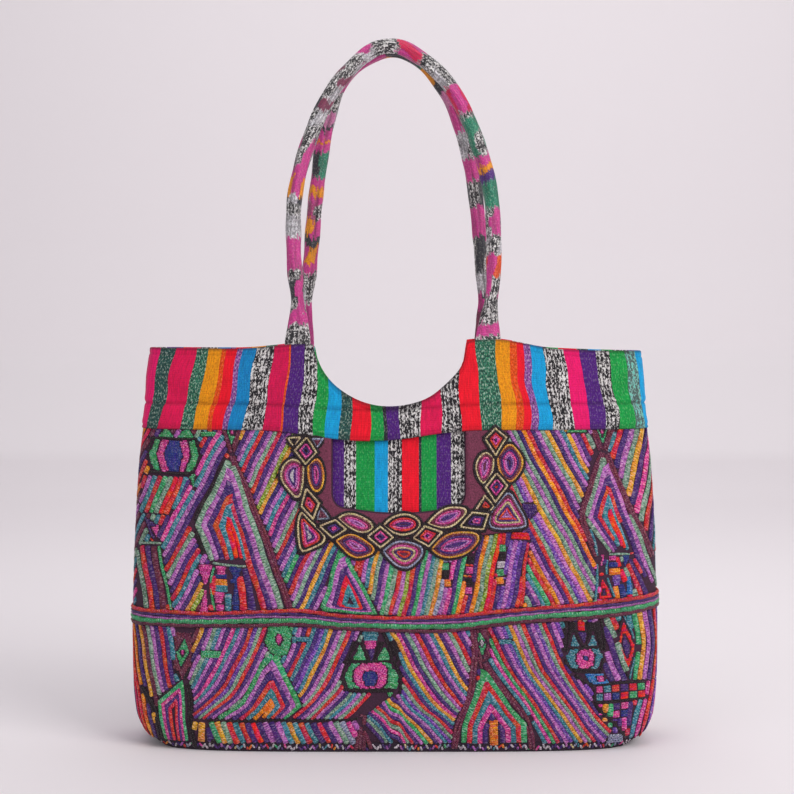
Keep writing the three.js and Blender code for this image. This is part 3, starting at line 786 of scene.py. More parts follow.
# Widths of rows in chart steps, where no guide lines set them, and of the rows of filled shapes.
PITCH = 4.3
SATIN_WIDTH, SATIN_HEIGHT = 2.7, 1.0
CHECK_APART, CHECK_WIDE, CHECK_TALL = 8.8, 8.2, 7.2
HEAVY_LINE = 4.5

# The pattern's chart, in steps across and down. Each field of rows is an outline, two guide lines and
# the letters of the threads from one guide to the other.

FIELDS = [
    # upper panel, left
    ([(110, 420), (240, 420), (236, 455), (262, 520), (300, 625), (110, 625)],
     [(144, 415), (38, 615)], [(302, 415), (196, 615)], "ROrMPROMLMTMSTRPKTLPRSLPRTLPAYM"),
    # upper panel, the bundle under the left bird
    ([(138, 478), (187, 478), (178, 500), (170, 517), (136, 517)],
     [(146, 470), (126, 520)], [(200, 470), (180, 520)], "RLTRESrRTLP"),
    # upper panel, falling rows at the left end
    ([(134, 549), (160, 549), (176, 625), (134, 625)],
     [(132, 545), (148, 625)], [(164, 545), (178, 625)], "SRPMRE"),
    # upper panel, rows from the yoke down to the triangle
    ([(232, 420), (420, 420), (420, 625), (290, 625), (256, 530), (232, 456)],
     [(246, 425), (150, 630)], [(444, 425), (348, 630)], "APLTRPLSRPLYAPLTKPLSRPLTEPRLSPATPLERPNTLSPR"),
    # upper panel, the foot of the left kite
    ([(205, 566), (249, 566), (266, 614), (205, 614)],
     [(208, 560), (204, 618)], [(256, 560), (272, 618)], "ERKTNRPRT"),
    # upper panel, steep rows right of the triangle
    ([(350, 520), (509, 520), (528, 545), (524, 625), (345, 625)],
     [(360, 515), (334, 630)], [(542, 515), (520, 630)], "TLRRLTASPLESRLYRPELTSAGLKPEORPOSYrRPVLVPRKP"),
    # upper panel, falling rows on the right
    ([(468, 420), (604, 420), (590, 470), (584, 520), (600, 560), (596, 625), (520, 625), (528, 545),
      (518, 525), (500, 480)],
     [(415, 420), (525, 625)], [(622, 420), (732, 625)], "PTOSPLTEROLPRSVLASLSPORPLSAPLTALPRSLSPLYELMP"),
    ([(600, 420), (700, 420), (700, 600), (655, 600), (606, 460)],
     [(614, 420), (585, 520)], [(694, 420), (669, 560)], "VTRPLSAPKSRPTRL"),
    # upper panel, the foot of the right kite
    ([(596, 554), (636, 554), (660, 625), (594, 625)],
     [(592, 550), (592, 625)], [(630, 550), (668, 625)], "EKrPONrSRPR"),
    # lower panel, far left
    ([(100, 625), (173, 625), (177, 655), (180, 682), (158, 702), (162, 752), (100, 752)],
     [(112, 625), (122, 690), (135, 752)], [(176, 625), (188, 690), (200, 752)], "NPrROPAMSLPRPTLP"),
    # lower panel, swept rows from the braid to the crease
    ([(190, 625), (366, 625), (350, 660), (343, 688), (396, 688), (388, 702), (362, 719), (205, 719),
      (194, 726), (188, 688)],
     [(200, 625), (182, 668), (166, 694), (136, 716)], [(400, 625), (378, 680), (362, 700), (338, 724)],
     "MAPLSTLPKTLPRVSRPLSAPETLPRTPVTAPLSRPLSRLPSTLSR"),
    # lower panel, short rows under the crease
    ([(208, 719), (362, 719), (366, 748), (212, 748)],
     [(204, 716), (216, 750)], [(352, 716), (370, 750)], "DEASRTRPrPLPLTATRTPRPLSGKL"),
    ([(194, 722), (208, 720), (214, 748), (192, 748)],
     [(198, 716), (190, 750)], [(214, 716), (222, 750)], "AAPL"),
    # lower panel, falling rows from the bird to the house
    ([(381, 625), (486, 625), (484, 668), (464, 722), (462, 748), (364, 748), (362, 716), (382, 700),
      (399, 690), (398, 670)],
     [(300, 625), (339, 700), (369, 720), (391, 752)], [(488, 625), (527, 700), (557, 720), (579, 752)],
     "PSTPKSRPLEAPLTVSRPTAKPSLRPLTAPLSRPLTRPLTP"),
    # lower panel, long falling rows on the right
    ([(484, 615), (566, 615), (562, 655), (572, 672), (592, 690), (594, 704), (612, 724), (608, 752),
      (532, 752), (526, 718), (500, 690), (486, 655)],
     [(470, 612), (486, 652), (509, 688), (533, 717), (550, 756)],
     [(562, 612), (574, 650), (592, 684), (610, 710), (650, 750)], "TKERPLVTALSRPLVSRPLVTA"),
    # lower panel, right end
    ([(590, 610), (625, 610), (617, 645), (629, 676), (634, 684), (604, 684), (603, 655)],
     [(578, 610), (608, 686)], [(626, 605), (656, 684)], "DPLPSRTLT"),
    ([(625, 610), (700, 610), (700, 684), (630, 684), (636, 650)],
     [(628, 610), (636, 650), (630, 686)], [(692, 610), (690, 650), (686, 686)], "TEALPRVLRPVK"),
    ([(592, 701), (634, 701), (634, 726), (618, 740), (600, 716)],
     [(594, 700), (596, 740)], [(636, 700), (634, 740)], "TKAEVPKPN"),
    ([(634, 701), (646, 701), (646, 684), (700, 684), (700, 752), (612, 752), (622, 736), (634, 726)],
     [(634, 684), (618, 755)], [(694, 684), (678, 755)], "TRTKRVKLRPKV"),
]

# Nests of rows from an outer line to an inner one: outline, outer, inner, letters, closed.
NESTS = [
    # kites
    ([(230, 455), (194, 527), (211, 566), (249, 567), (262, 612), (289, 612)],
     [(213, 562), (198, 527), (230, 461), (284, 613)], [(229, 560), (216, 528), (229.5, 498), (266, 613)],
     "SLPR", False),
    ([(229.5, 502), (218, 528), (231, 563), (250, 563)],
     [(233, 560), (221.5, 528), (229.5, 507), (246, 560)], [(237, 558), (228, 530), (230, 519), (242, 558)],
     "Tr", False),
    ([(606, 452), (582, 519), (605, 558), (634, 558), (656, 600), (668, 600)],
     [(612, 556), (586, 519), (606, 458), (662, 592)], [(619, 551), (600, 519), (609, 490), (640, 575)],
     "SLPR", False),
    ([(609.5, 495), (603, 519), (620, 555), (634, 555)],
     [(619, 549), (606, 518), (609.5, 500), (629, 553)], [(624, 549), (612, 520), (611, 512), (626, 551)],
     "Tr", False),
    # triangle over the braid
    ([(342, 544), (317, 611), (381, 616)],
     [(323, 608), (342, 550), (375, 611)], [(344, 604), (349, 588), (358, 605)], "ELPrT", True),
    # triangle by the crease
    ([(276, 650), (262, 661), (240, 701), (214, 720), (292, 720), (303, 704)],
     [(219, 719), (243, 702), (264, 663), (275, 654), (299, 703), (284, 719)],
     [(255, 718), (262, 711), (269, 704), (271, 702), (273, 705), (264, 717)], "ELPRTO", False),
    # house
    ([(484, 665), (461, 722), (459, 752), (528, 752), (528, 722)],
     [(462, 752), (465, 723), (484, 671), (510, 709), (524, 723), (523, 752)],
     [(484, 752), (485, 729), (491.5, 716), (497, 722), (502, 729), (502, 752)], "ERTKP", False),
    # dart at the left corner
    ([(181, 680), (156, 702), (162, 745), (190, 745)],
     [(166, 745), (159, 704), (181, 684), (186, 745)], [(174, 745), (170, 710), (177, 701), (178, 745)],
     "EKPR", False),
]

# Filled shapes: outline, letter, direction of the stitches in degrees from level.
FILLS = [
    ([(148, 440), (196, 440), (201.5, 458), (195, 475.5), (149, 475.5), (143.5, 458)], "D", 0),
    ([(164.5, 429), (153, 440), (173, 440)], "E", 0), ([(185, 427), (174, 440), (193, 440)], "E", 0),
    ([(151, 442), (193, 442), (199, 458), (193, 473), (151, 473), (146, 458)], "E", 15),
    ([(158, 442.5), (186, 442.5), (190, 458), (184, 474), (159, 474), (154, 457)], "K", 10),
    ([(168, 442.5), (177, 442.5), (182, 457), (177, 475), (168, 475), (162, 457)], "N", 90),
    ([(186, 476), (195, 476), (194, 493)], "E", 0),
    ([(199, 434), (215, 434), (215, 438.5), (199, 438.5)], "E", 0),
    ([(222, 429), (240, 429), (231, 454)], "E", 0), ([(228, 431), (234, 431), (231, 440)], "K", 0),
    ([(141, 519), (154, 528), (154, 544), (148, 540)], "P", 0),
    ([(148, 530), (158, 528), (155, 545)], "K", 0),
    ([(198, 566), (214, 566), (206.5, 587), (210, 612), (200, 612), (204.5, 587)], "K", 0),
    ([(216, 567), (228, 567), (227, 575), (217, 575)], "K", 0),
    ([(215, 575), (228, 575), (228, 580), (215, 580)], "N", 0),
    ([(214, 580), (228, 580), (228, 586), (214, 586)], "O", 0),
    ([(214, 586), (228, 586), (228, 593), (214, 593)], "T", 0),
    ([(214, 593), (226, 593), (223, 604), (214, 604)], "K", 0),
    ([(229, 566), (244, 566), (238.5, 581), (241, 604), (231, 604), (235, 581)], "N", 0),
    ([(594, 429), (611, 429), (603.5, 450)], "E", 0), ([(600, 431), (606, 431), (603, 439)], "K", 0),
    ([(567, 430), (587, 430), (587, 435), (567, 435)], "E", 0),
    ([(523, 503), (536, 504), (537, 512), (530, 520), (523, 518)], "P", 90),
    ([(511, 533), (529, 533), (529, 539), (509, 540)], "r", 0),
    ([(594, 556), (606, 556), (602, 573), (599, 573)], "K", 0),
    ([(602, 576), (613, 599), (597, 599)], "r", 0),
    ([(603, 587), (606, 596), (601, 596)], "P", 0),
    ([(609, 558), (617, 558), (617, 563), (609, 563)], "K", 0),
    ([(609, 564), (619, 564), (619, 569), (609, 569)], "N", 0),
    ([(608, 570), (621, 570), (621, 576.5), (609, 576.5)], "O", 0),
    ([(611, 577), (622, 577), (620, 587), (613, 587)], "V", 0),
    ([(622, 558), (632, 558), (628, 569), (625, 569)], "N", 0),
    ([(626, 580), (632, 580), (634, 597), (625, 597)], "B", 0),
    # lower panel
    ([(174, 632), (192, 632), (193, 668), (184, 684), (174, 668)], "M", 70),
    ([(185, 637), (175.5, 653), (181, 670), (191, 652)], "E", 0),
    ([(183, 648), (180, 653), (182.5, 658), (185.5, 653)], "K", 0),
    ([(201, 651), (222.5, 651), (222.5, 656.5), (201, 656.5)], "E", 0),
    ([(270, 622), (288, 622), (295, 636), (288, 652), (279, 656), (270, 652), (264, 640)], "E", 20),
    ([(279, 631), (275, 638), (279, 646), (283.5, 638)], "K", 0),
    ([(292, 636), (310, 635), (310, 638.5), (292, 641)], "T", 0),
    ([(350, 640), (396, 640), (402, 676), (392, 690), (350, 690), (342, 676)], "D", 0),
    ([(361, 628), (380, 628), (378, 637.5), (363, 637.5)], "T", 0),
    ([(363, 638), (377.5, 638), (376, 645.5), (365, 645.5)], "K", 0),
    ([(366, 646), (376, 646), (372.5, 663)], "P", 0),
    ([(359, 641), (352, 657.5), (367.5, 657.5)], "E", 0), ([(384, 642), (377, 658), (391.5, 658)], "E", 0),
    ([(352, 660.5), (392, 660.5), (399, 674), (396, 687), (348, 686), (344.5, 674)], "E", 15),
    ([(361, 661), (382, 661), (389, 668), (388, 681), (382, 686.5), (361, 686.5), (354, 680),
      (354, 668)], "K", 20),
    ([(365, 669), (376.5, 669), (378, 677), (374, 684), (366, 684), (363, 676)], "N", 90),
    ([(385, 689), (398, 689), (390, 698)], "E", 0),
    ([(474, 625), (488, 625), (489, 656), (481, 668), (473, 650)], "M", 70),
    ([(479, 627), (486.5, 641), (482, 657), (475.5, 641)], "E", 0),
    ([(480.5, 636), (478.5, 641), (481, 646), (483.5, 641)], "W", 0),
    ([(497, 638.5), (511, 638.5), (511, 642), (497, 642)], "T", 0),
    ([(489, 720), (498, 719), (499, 752), (488, 752)], "O", 0),
    ([(566, 622), (600, 622), (606, 656), (600, 672), (570, 672), (561, 658)], "D", 0),
    ([(577, 622), (585, 622), (586, 630.5), (576, 630.5)], "r", 0),
    ([(576, 632), (587.5, 632), (583, 646)], "P", 0),
    ([(572, 631), (568, 646.5), (579, 646.5)], "T", 0), ([(593, 631), (586, 646.5), (598, 646.5)], "T", 0),
    ([(568, 648.5), (599, 648.5), (604, 657), (598, 669), (571, 669), (564, 658)], "T", 20),
    ([(579, 649), (590, 649), (595, 655), (593, 665), (587, 668.5), (579, 668), (575, 661),
      (575, 654)], "K", 20),
    ([(582.5, 656), (587, 656), (587, 661), (582.5, 661)], "N", 0),
    ([(583, 673), (604, 673), (610, 685), (590, 685)], "B", 0),
    ([(595, 675), (603, 675), (605, 681), (597, 681)], "K", 0),
    ([(624, 621), (616.5, 645), (629.5, 673), (636, 650)], "r", 0),
    ([(624, 634), (620.5, 647), (628, 662), (631, 649)], "P", 0),
    ([(607, 737), (623, 734), (624, 752), (605, 752)], "G", 0),
]
# Rows of small squares: left, top and a letter for each square.
CHECKS = [(593.5, 686, "KTRPrE"), (593.5, 693.8, "TLNrEr"), (441.5, 563, "E"), (441.5, 571, "D"),
          (442.5, 579, "O"),
          (466, 546, "K"), (466, 556, "D"), (465, 566, "K"), (464, 577, "D"), (463, 586, "K"),
          (497, 545, "E"),
          (497, 553, "D"), (496.5, 561, "W"), (496, 569, "E"), (495, 577, "O"), (612, 704, "PK"),
          (612, 712, "KN")]

# Single heavy lines: points, letter, width.
LINES = [
    ([(231, 456), (262, 528), (293, 614)], "M", 6.5),
    ([(226, 461), (206, 500), (192, 527), (204, 556)], "D", 4.5),
    ([(240, 428), (231, 456)], "M", 5), ([(221, 428), (231, 456)], "M", 4),
    ([(608, 455), (621, 492), (638, 523), (656, 562)], "M", 7),
    ([(604, 453), (583, 508), (583, 528), (598, 558)], "M", 6.5),
    ([(614, 428), (606, 453)], "M", 7), ([(592, 428), (602, 452)], "M", 6),
    ([(138, 547), (161, 546.5)], "S", 2.6), ([(157, 549), (172, 613)], "E", 3.4),
    ([(215, 567), (209, 586), (216, 612)], "E", 2.6), ([(213, 564), (230, 565.5), (248, 566)], "S", 2.6),
    ([(146, 441), (198, 441)], "D", 2.0), ([(146, 475), (190, 476)], "D", 2.2),
    ([(609, 556), (633, 557)], "S", 2.4),
    ([(590, 530), (600, 560), (594, 600)], "T", 3.0), ([(608, 560), (606, 577), (615, 600)], "T", 2.4),
    # The dark rows along the crease at step 720 and down the dart near step 190 lie on the body's folds:
    # painted fold shade laid as black thread.
    ([(208, 720), (345, 719), (360, 716)], "D", 2.0),
    ([(187, 683), (190, 705), (190, 722), (195, 750)], "D", 5),
    ([(176, 670), (183, 682), (191, 668)], "D", 3),
    ([(158, 700), (166, 694), (172, 690)], "D", 3), ([(364, 712), (361, 750)], "M", 7),
    ([(355, 750), (362, 718), (371, 750)], "M", 4),
    ([(472, 620), (474, 651), (473, 672), (470, 696), (458, 721), (453.5, 752)], "M", 6.5),
    ([(484, 660), (493, 673), (508, 697), (529, 718), (532, 752)], "M", 6.5),
    ([(382, 628), (394, 660), (401, 678), (398, 692)], "D", 3),
    ([(362, 628), (348, 656), (342, 676), (346, 689)], "D", 2.6),
    ([(344, 659.5), (398, 660)], "D", 2.0), ([(344, 688), (396, 690)], "D", 2.4),
    ([(527, 541), (523, 580), (520, 606)], "R", 3.6),
    ([(593, 684.5), (647, 684)], "D", 2.2), ([(593, 702), (647, 701)], "D", 2.2),
    ([(593, 686), (593, 702)], "D", 2),
    ([(624, 616), (614, 645), (630, 682)], "D", 2.2), ([(624, 616), (639, 650), (630, 682)], "T", 2.2),
    ([(566, 616), (562, 655), (572, 674), (594, 686)], "D", 3),
    ([(600, 614), (606, 655), (600, 672)], "D", 2.4),
    ([(594, 704), (614, 724), (627, 742)], "D", 3), ([(140, 690), (158, 716), (160, 742)], "D", 6),
]

# Short light stitches along the seam at the foot: from where to where, and their letters.
FOOT_STITCHES = ((160, 632), "WPLWPGWRCPWKWPOGWPWELWTLPWGRP")

# Rows of the back where the front has its neck opening, which the photo doesn't show.
BEHIND_NECK = "PRLTKPSRLPAVTPRKLSPETRPLKAPTRLPSVRKPT"


def satin(outline, angle, pitch=2.1):
    """Short rows side by side across an outline."""
    shape = np.asarray(outline, float)
    c, s = math.cos(math.radians(angle)), math.sin(math.radians(angle))
    turned = shape @ np.array([[c, -s], [s, c]])
    low, high = turned.min(0), turned.max(0)
    lines = []
    for level in np.arange(low[1] + pitch / 2, high[1], pitch):
        ends = np.array([(low[0] - 1, level), (high[0] + 1, level)])
        lines.append(ends @ np.array([[c, s], [-s, c]]))
    return lines


def stitch_pattern(work):
    """Lays the whole charted pattern on one face."""
    if work.face == "back":
        lines = between([(398, 410), (342, 532)], [(574, 410), (518, 532)], len(BEHIND_NECK))
        work.patch([(392, 410), (568, 410), (568, 532), (392, 532)], lines, BEHIND_NECK, PITCH, curved=True)
    for outline, a, b, letters in FIELDS:
        lines = between(a, b, len(letters))
        work.patch(outline, lines, letters, PITCH, curved=True)
    for outline, outer, inner, letters, closed in NESTS:
        work.patch(outline, between(outer, inner, len(letters), 1.12, 3.6), letters, 4.6, 1.2, closed=closed)
    for outline, letter, angle in FILLS:
        rows = satin(outline, angle)
        work.patch(outline, rows, letter * len(rows), SATIN_WIDTH, SATIN_HEIGHT)
    for x, y, letters in CHECKS:
        for i, letter in enumerate(letters):
            left, right, foot = x + i * CHECK_APART, x + i * CHECK_APART + CHECK_WIDE, y + CHECK_TALL
            outline = [(left, y), (right, y), (right, foot), (left, foot)]
            rows = satin(outline, 0)
            work.patch(outline, rows, letter * len(rows), SATIN_WIDTH, SATIN_HEIGHT)
    work.patch([(90, 743.5), (700, 743.5), (700, 770), (90, 770)], [], "", PITCH)
    (start, end), letters = FOOT_STITCHES
    for i, x in enumerate(np.arange(start, end, 2.9)):
        lean = 1.8 * math.sin(i * 2.4)
        y = 747.0 + 1.2 * math.sin(i * 1.7)
        row = np.array([(x - lean, y - 2.4 - math.sin(i * 3.1)), (x + lean, y + 2.2)])
        work.patch(None, [row], letters[i * 7 % len(letters)], 2.3, 0.9)
    for points, letter, width in LINES:
        line = np.asarray(points, float)
        heavy = width > HEAVY_LINE
        rows = [line - [width / 4, 0], line + [width / 4, 0]] if heavy else [line]
        work.patch(band(line, width), rows, letter * 2, width * (0.55 if heavy else 1), 1.15, curved=True)


def band(line, width):
    """The outline of a band along a line."""
    d = np.gradient(line, axis=0)
    d /= np.maximum(np.hypot(d[:, 0], d[:, 1]), 1e-9)[:, None]
    side = np.stack([-d[:, 1], d[:, 0]], 1) * width / 2
    return np.concatenate([line + side, (line - side)[::-1]])


# Settings, operators and panel.


class ToteBagSizes(bpy.types.PropertyGroup):
    weave_roughness: bpy.props.FloatProperty(
        name="Weave roughness", description="How matt the striped cloth is", default=0.75, min=0, max=1)
    thread_gloss: bpy.props.FloatProperty(
        name="Thread roughness", description="How matt the embroidery thread is", default=0.55, min=0, max=1)
    light_power: bpy.props.FloatProperty(
        name="Key light", description="Power of the large light", default=31.0, min=0, unit="POWER")


class ToteBagColours(bpy.types.PropertyGroup):
    floor: bpy.props.FloatVectorProperty(
        name="Floor", description="Floor and backdrop", subtype="COLOR", default=linear("#EEE8EB"))


class TOTEBAG_OT_stage(bpy.types.Operator):
    """Makes the camera, the floor that sweeps up into the backdrop, and the lights"""

    bl_idname = "totebag.stage"
    bl_label = "Stage"

    def execute(self, context):
        camera = bpy.data.objects.new("camera", bpy.data.cameras.new("camera"))
        camera.data.sensor_width = 36
        camera.data.lens = 83.4
        camera.location = (0.0017, -1.6, 0.38)
        camera.rotation_euler = (math.radians(90 - 2.9), 0, 0)
        context.scene.collection.objects.link(camera)
        context.scene.camera = camera
        mesh, column, row = lay_grid(8, 48)
        sweep = np.array([(-3200, 0), (1900, 0), (2250, 60), (2450, 260), (2500, 520), (2500, 3400)], float)
        at = np.interp(np.arange(49), np.linspace(0, 48, len(sweep)), np.arange(len(sweep)))
        path = np.stack([np.interp(at, np.arange(len(sweep)), sweep[:, i]) for i in (0, 1)], 1)
        set_places(mesh, np.stack([(column - 4) * 900.0, path[row, 0], path[row, 1]], 1))
        made, tree, shader = material("seamless_paper")
        shader.inputs["Base Color"].default_value = (*context.scene.tote_colours.floor, 1)
        shader.inputs["Roughness"].default_value = 0.85
        mesh.materials.append(made)
        mesh.shade_smooth()
        floor = bpy.data.objects.new("floor", mesh)
        context.scene.collection.objects.link(floor)
        key_power = context.scene.tote_sizes.light_power
        for name, place, aim, size, power, tint in (
            ("key", (1.5, -1.5, 1.45), (0, 0, 0.2), 1.4, key_power, (1, 0.98, 0.97)),
            ("fill", (-1.5, -1.5, 0.9), (0, 0, 0.2), 1.6, 5, (0.97, 0.98, 1)),
            ("top", (0, -0.2, 2.0), (0, 0, 0), 1.6, 9, (1, 1, 1)),
            ("back", (0.2, 1.0, 1.9), (0.3, 2.5, 0.6), 2.0, 12, (1, 1, 1)),
        ):
            light = bpy.data.objects.new(name, bpy.data.lights.new(name, "AREA"))
            light.data.size, light.data.energy, light.data.color = size, power, tint
            light.location = place
            light.rotation_euler = (Vector(aim) - Vector(place)).to_track_quat("-Z", "Y").to_euler()
            context.scene.collection.objects.link(light)
        world = bpy.data.worlds.new("studio")
        world.use_nodes = True
        world.node_tree.nodes["Background"].inputs[0].default_value = (0.93, 0.92, 0.95, 1)
        world.node_tree.nodes["Background"].inputs[1].default_value = 0.45
        context.scene.world = world
        context.scene.view_settings.view_transform = "Standard"
        return {"FINISHED"}


def neck_outline(margin, top):
    """The neck opening's outline, let out by a margin, from its top left round to its top right."""
    half, corner = NECK_WIDTH / 2 + margin, NECK_CORNER + margin
    low = RIM_HEIGHT - YOKE_DROP - NECK_DROP - margin

    def curve(p, q, r):
        t = np.linspace(0, 1, 13)[1:, None]
        p, q, r = np.array(p, float), np.array(q, float), np.array(r, float)
        return (1 - t) ** 2 * p + 2 * t * (1 - t) * q + t * t * r

    left, right = NECK_X - half, NECK_X + half
    return np.concatenate([
        [(left, top), (left, low + corner)],
        curve((left, low + corner), (left, low), (left + corner, low)),
        curve((left + corner, low), (NECK_X, low - 2 * NECK_BELLY), (right - corner, low)),
        curve((right - corner, low), (right, low), (right, low + corner)),
        [(right, top)],
    ])


def thicken(mesh, thickness):
    """Turns a single sheet into closed cloth that grows to the side its faces look to."""
    bm = bmesh.new()
    bm.from_mesh(mesh)
    bmesh.ops.solidify(bm, geom=bm.faces[:], thickness=-thickness * MM)
    bmesh.ops.recalc_face_normals(bm, faces=bm.faces)
    bm.to_mesh(mesh)
    bm.free()


def body_cloth(face, columns=150, rows=64):
    """One body cloth as a sheet bent to the wall, the front one with its neck opening."""
    mesh, column, row = lay_grid(columns, rows)
    share = 2 * column / columns - 1
    z = mix(BASE_TURN_UP + CLEARANCE, hem_height(share * half_length(200)) + YOKE_LAP, row / rows)
    run = share * (half_length(z) - CLEARANCE / 2)
    if face == "back":
        run = -run
    places = wall(face, run, z, -BODY_CLOTH / 2)
    drop = None
    if face == "front":
        outline = neck_outline(0, RIM_HEIGHT)
        flat = places[:, [0, 2]]
        corners = np.empty(len(mesh.loops), int)
        mesh.loops.foreach_get("vertex_index", corners)
        quads = corners.reshape(-1, 4)
        gone = inside(flat[quads].mean(1), outline)
        drop = np.flatnonzero(gone)
        edge = np.intersect1d(quads[gone], quads[~gone])
        fine = resample(outline, 0.3)
        near = fine[((flat[edge, None] - fine[None]) ** 2).sum(-1).argmin(1)]
        places[edge] = wall(face, run_at(near[:, 0], near[:, 1]), near[:, 1], -BODY_CLOTH / 2)
    set_places(mesh, places)
    sew(mesh, drop=drop)
    thicken(mesh, BODY_CLOTH)
    return mesh


def area_of(outline):
    """The area inside a flat outline."""
    x, z = np.asarray(outline, float).T
    return abs((x * np.roll(z, -1) - z * np.roll(x, -1)).sum()) / 2


class TOTEBAG_OT_body(bpy.types.Operator):
    """Makes the two dark body cloths and the embroidery on both faces"""

    bl_idname = "totebag.body"
    bl_label = "Body and embroidery"

    def execute(self, context):
        ground = ground_material("plum_cotton_ground", "#3B1C33")
        thread = thread_material("stranded_cotton_rows", context.scene.tote_sizes.thread_gloss, THREAD_SHEEN)
        for face in ("front", "back"):
            made = piece(f"{face}_body_cloth", body_cloth(face), ground, [f"{face}_body"])
            levels = np.arange(BASE_TURN_UP, RIM_HEIGHT - YOKE_DROP + YOKE_LAP, 1.0)
            area = 2 * half_length(levels).sum()
            if face == "front":
                area -= area_of(neck_outline(0, levels[-1]))
            bounds = collar_outline() if face == "front" else None
            work = Stitchwork(face, 11 if face == "front" else 12, mirror=face == "back",
                              lift=BODY_CLOTH / 2, bounds=bounds)
            stitch_pattern(work)
            piece(f"{face}_embroidery", work.mesh(), thread)
        return {"FINISHED"}


# Height at which the yokes' columns are laid out.
YOKE_MIDDLE = 316.0

# Stripes of the front yoke: where each ends, in chart steps across, and its kind.
YOKE_STRIPES = [
    (139, "green"), (153, "hot"), (167, "teal"), (189.2, "pink"), (202, "jaspe"), (216.3, "amber"),
    (221, "fine"), (232, "red"), (237.3, "twill"), (250.8, "blue"), (269.5, "ikat"), (286, "rose"),
    (288, "fine"), (302.8, "purple"), (317, "ikat"), (328.5, "green"), (341.5, "sky"), (352.5, "teal"),
    (371, "red"), (383.5, "green"), (387, "dark"), (399.5, "purple"), (420.5, "ikat"), (440.5, "pink"),
    (459, "ikat"), (478, "red"), (498, "jaspe"), (512, "amber"), (519, "fine"), (526, "red"),
    (533, "twill"), (546.5, "sky"), (568.5, "ikat"), (584.5, "hot"), (600.5, "purple"), (614, "ikat"),
    (630, "green"), (641, "mist"), (650, "sky"), (900, "pink"),
]
# Stripes of the inset, in the same way.
INSET_STRIPES = [
    (344, "purple"), (356, "ikat"), (374.7, "leaf"), (388, "sky"), (402, "ikat"), (418.8, "red"),
    (421.5, "dark"), (436.5, "leaf"), (451, "purple"), (470, "ikat"),
]


def stripe_columns(stripes, low, high, step, fine=()):
    """Places of columns between two ends, with one at each stripe's edge, and their stripes."""
    edges, kinds, start = [low], [], low
    for end, kind in stripes:
        end = min((end - CHART_MIDDLE) * CHART_MM, high)
        if end <= start:
            continue
        n = max(1, math.ceil((end - start) / step))
        inner = start + (end - start) * np.arange(1, n + 1) / n
        extra = [f for f in fine if start + 0.3 < f < end - 0.3]
        places = np.unique(np.round(np.concatenate([inner, extra]), 4))
        edges += places.tolist()
        kinds += [kind] * len(places)
        start = end
        if end >= high:
            break
    return np.array(edges), kinds


def paint_stripes(mesh, kinds, face_column, run, z, seed):
    """Gives each face its stripe's colours, and each point its place in the cloth."""
    colours = np.array([[*linear(STRIPES[kinds[c]][0]), 1] for c in face_column])
    dyes = np.array([[STRIPES[kinds[c]][1], STRIPES[kinds[c]][2], 0] for c in face_column])
    set_corner_attribute(mesh, "stripe", "FLOAT_COLOR", colours)
    set_corner_attribute(mesh, "dye", "FLOAT_VECTOR", dyes)
    set_point_attribute(mesh, "cloth", "FLOAT_VECTOR", np.stack([run, z, np.full(len(run), seed)], 1))


def face_columns(mesh, column):
    """The grid column that each face lies in."""
    corners = np.empty(len(mesh.loops), int)
    mesh.loops.foreach_get("vertex_index", corners)
    return column[corners].reshape(-1, 4).min(1)


def rounded_section(rows, thin, thick, inner_rows=12):
    """Steps round a cloth's section: share up it, extra height and lift, closed at both edges."""
    middle, half = (thin + thick) / 2, (thick - thin) / 2
    roll = [(math.sin(a), math.cos(a)) for a in np.linspace(0, np.pi, 7)]
    up = [(t, 0, thick) for t in np.linspace(0, 1, rows + 1)]
    top = [(1, half * (s - 1) + half, middle + half * c) for s, c in roll[1:-1]]
    down = [(t, 0, thin) for t in np.linspace(1, 0, inner_rows + 1)]
    foot = [(0, -half * s * 0.5, middle - half * c) for s, c in roll[1:-1]]
    return np.array(up + top + down + foot + up[:1])


def groove(distance, width):
    """How deep a narrow stitched groove is at a distance from its line."""
    return np.exp(-(distance / width) ** 2)


def scooped_rim(face, run, x):
    """The yoke's upper edge: its rim, cut down by the round scoop."""
    across = np.clip(np.abs(x - SCOOP_X) / SCOOP_RADIUS, 0, 1)
    scoop = RIM_HEIGHT + SCOOP_RISE[face] - SCOOP_RADIUS * np.sqrt(1 - across ** 2)
    return np.where(across < 1, np.minimum(rim_height(run), scoop), rim_height(run)) - 1.0


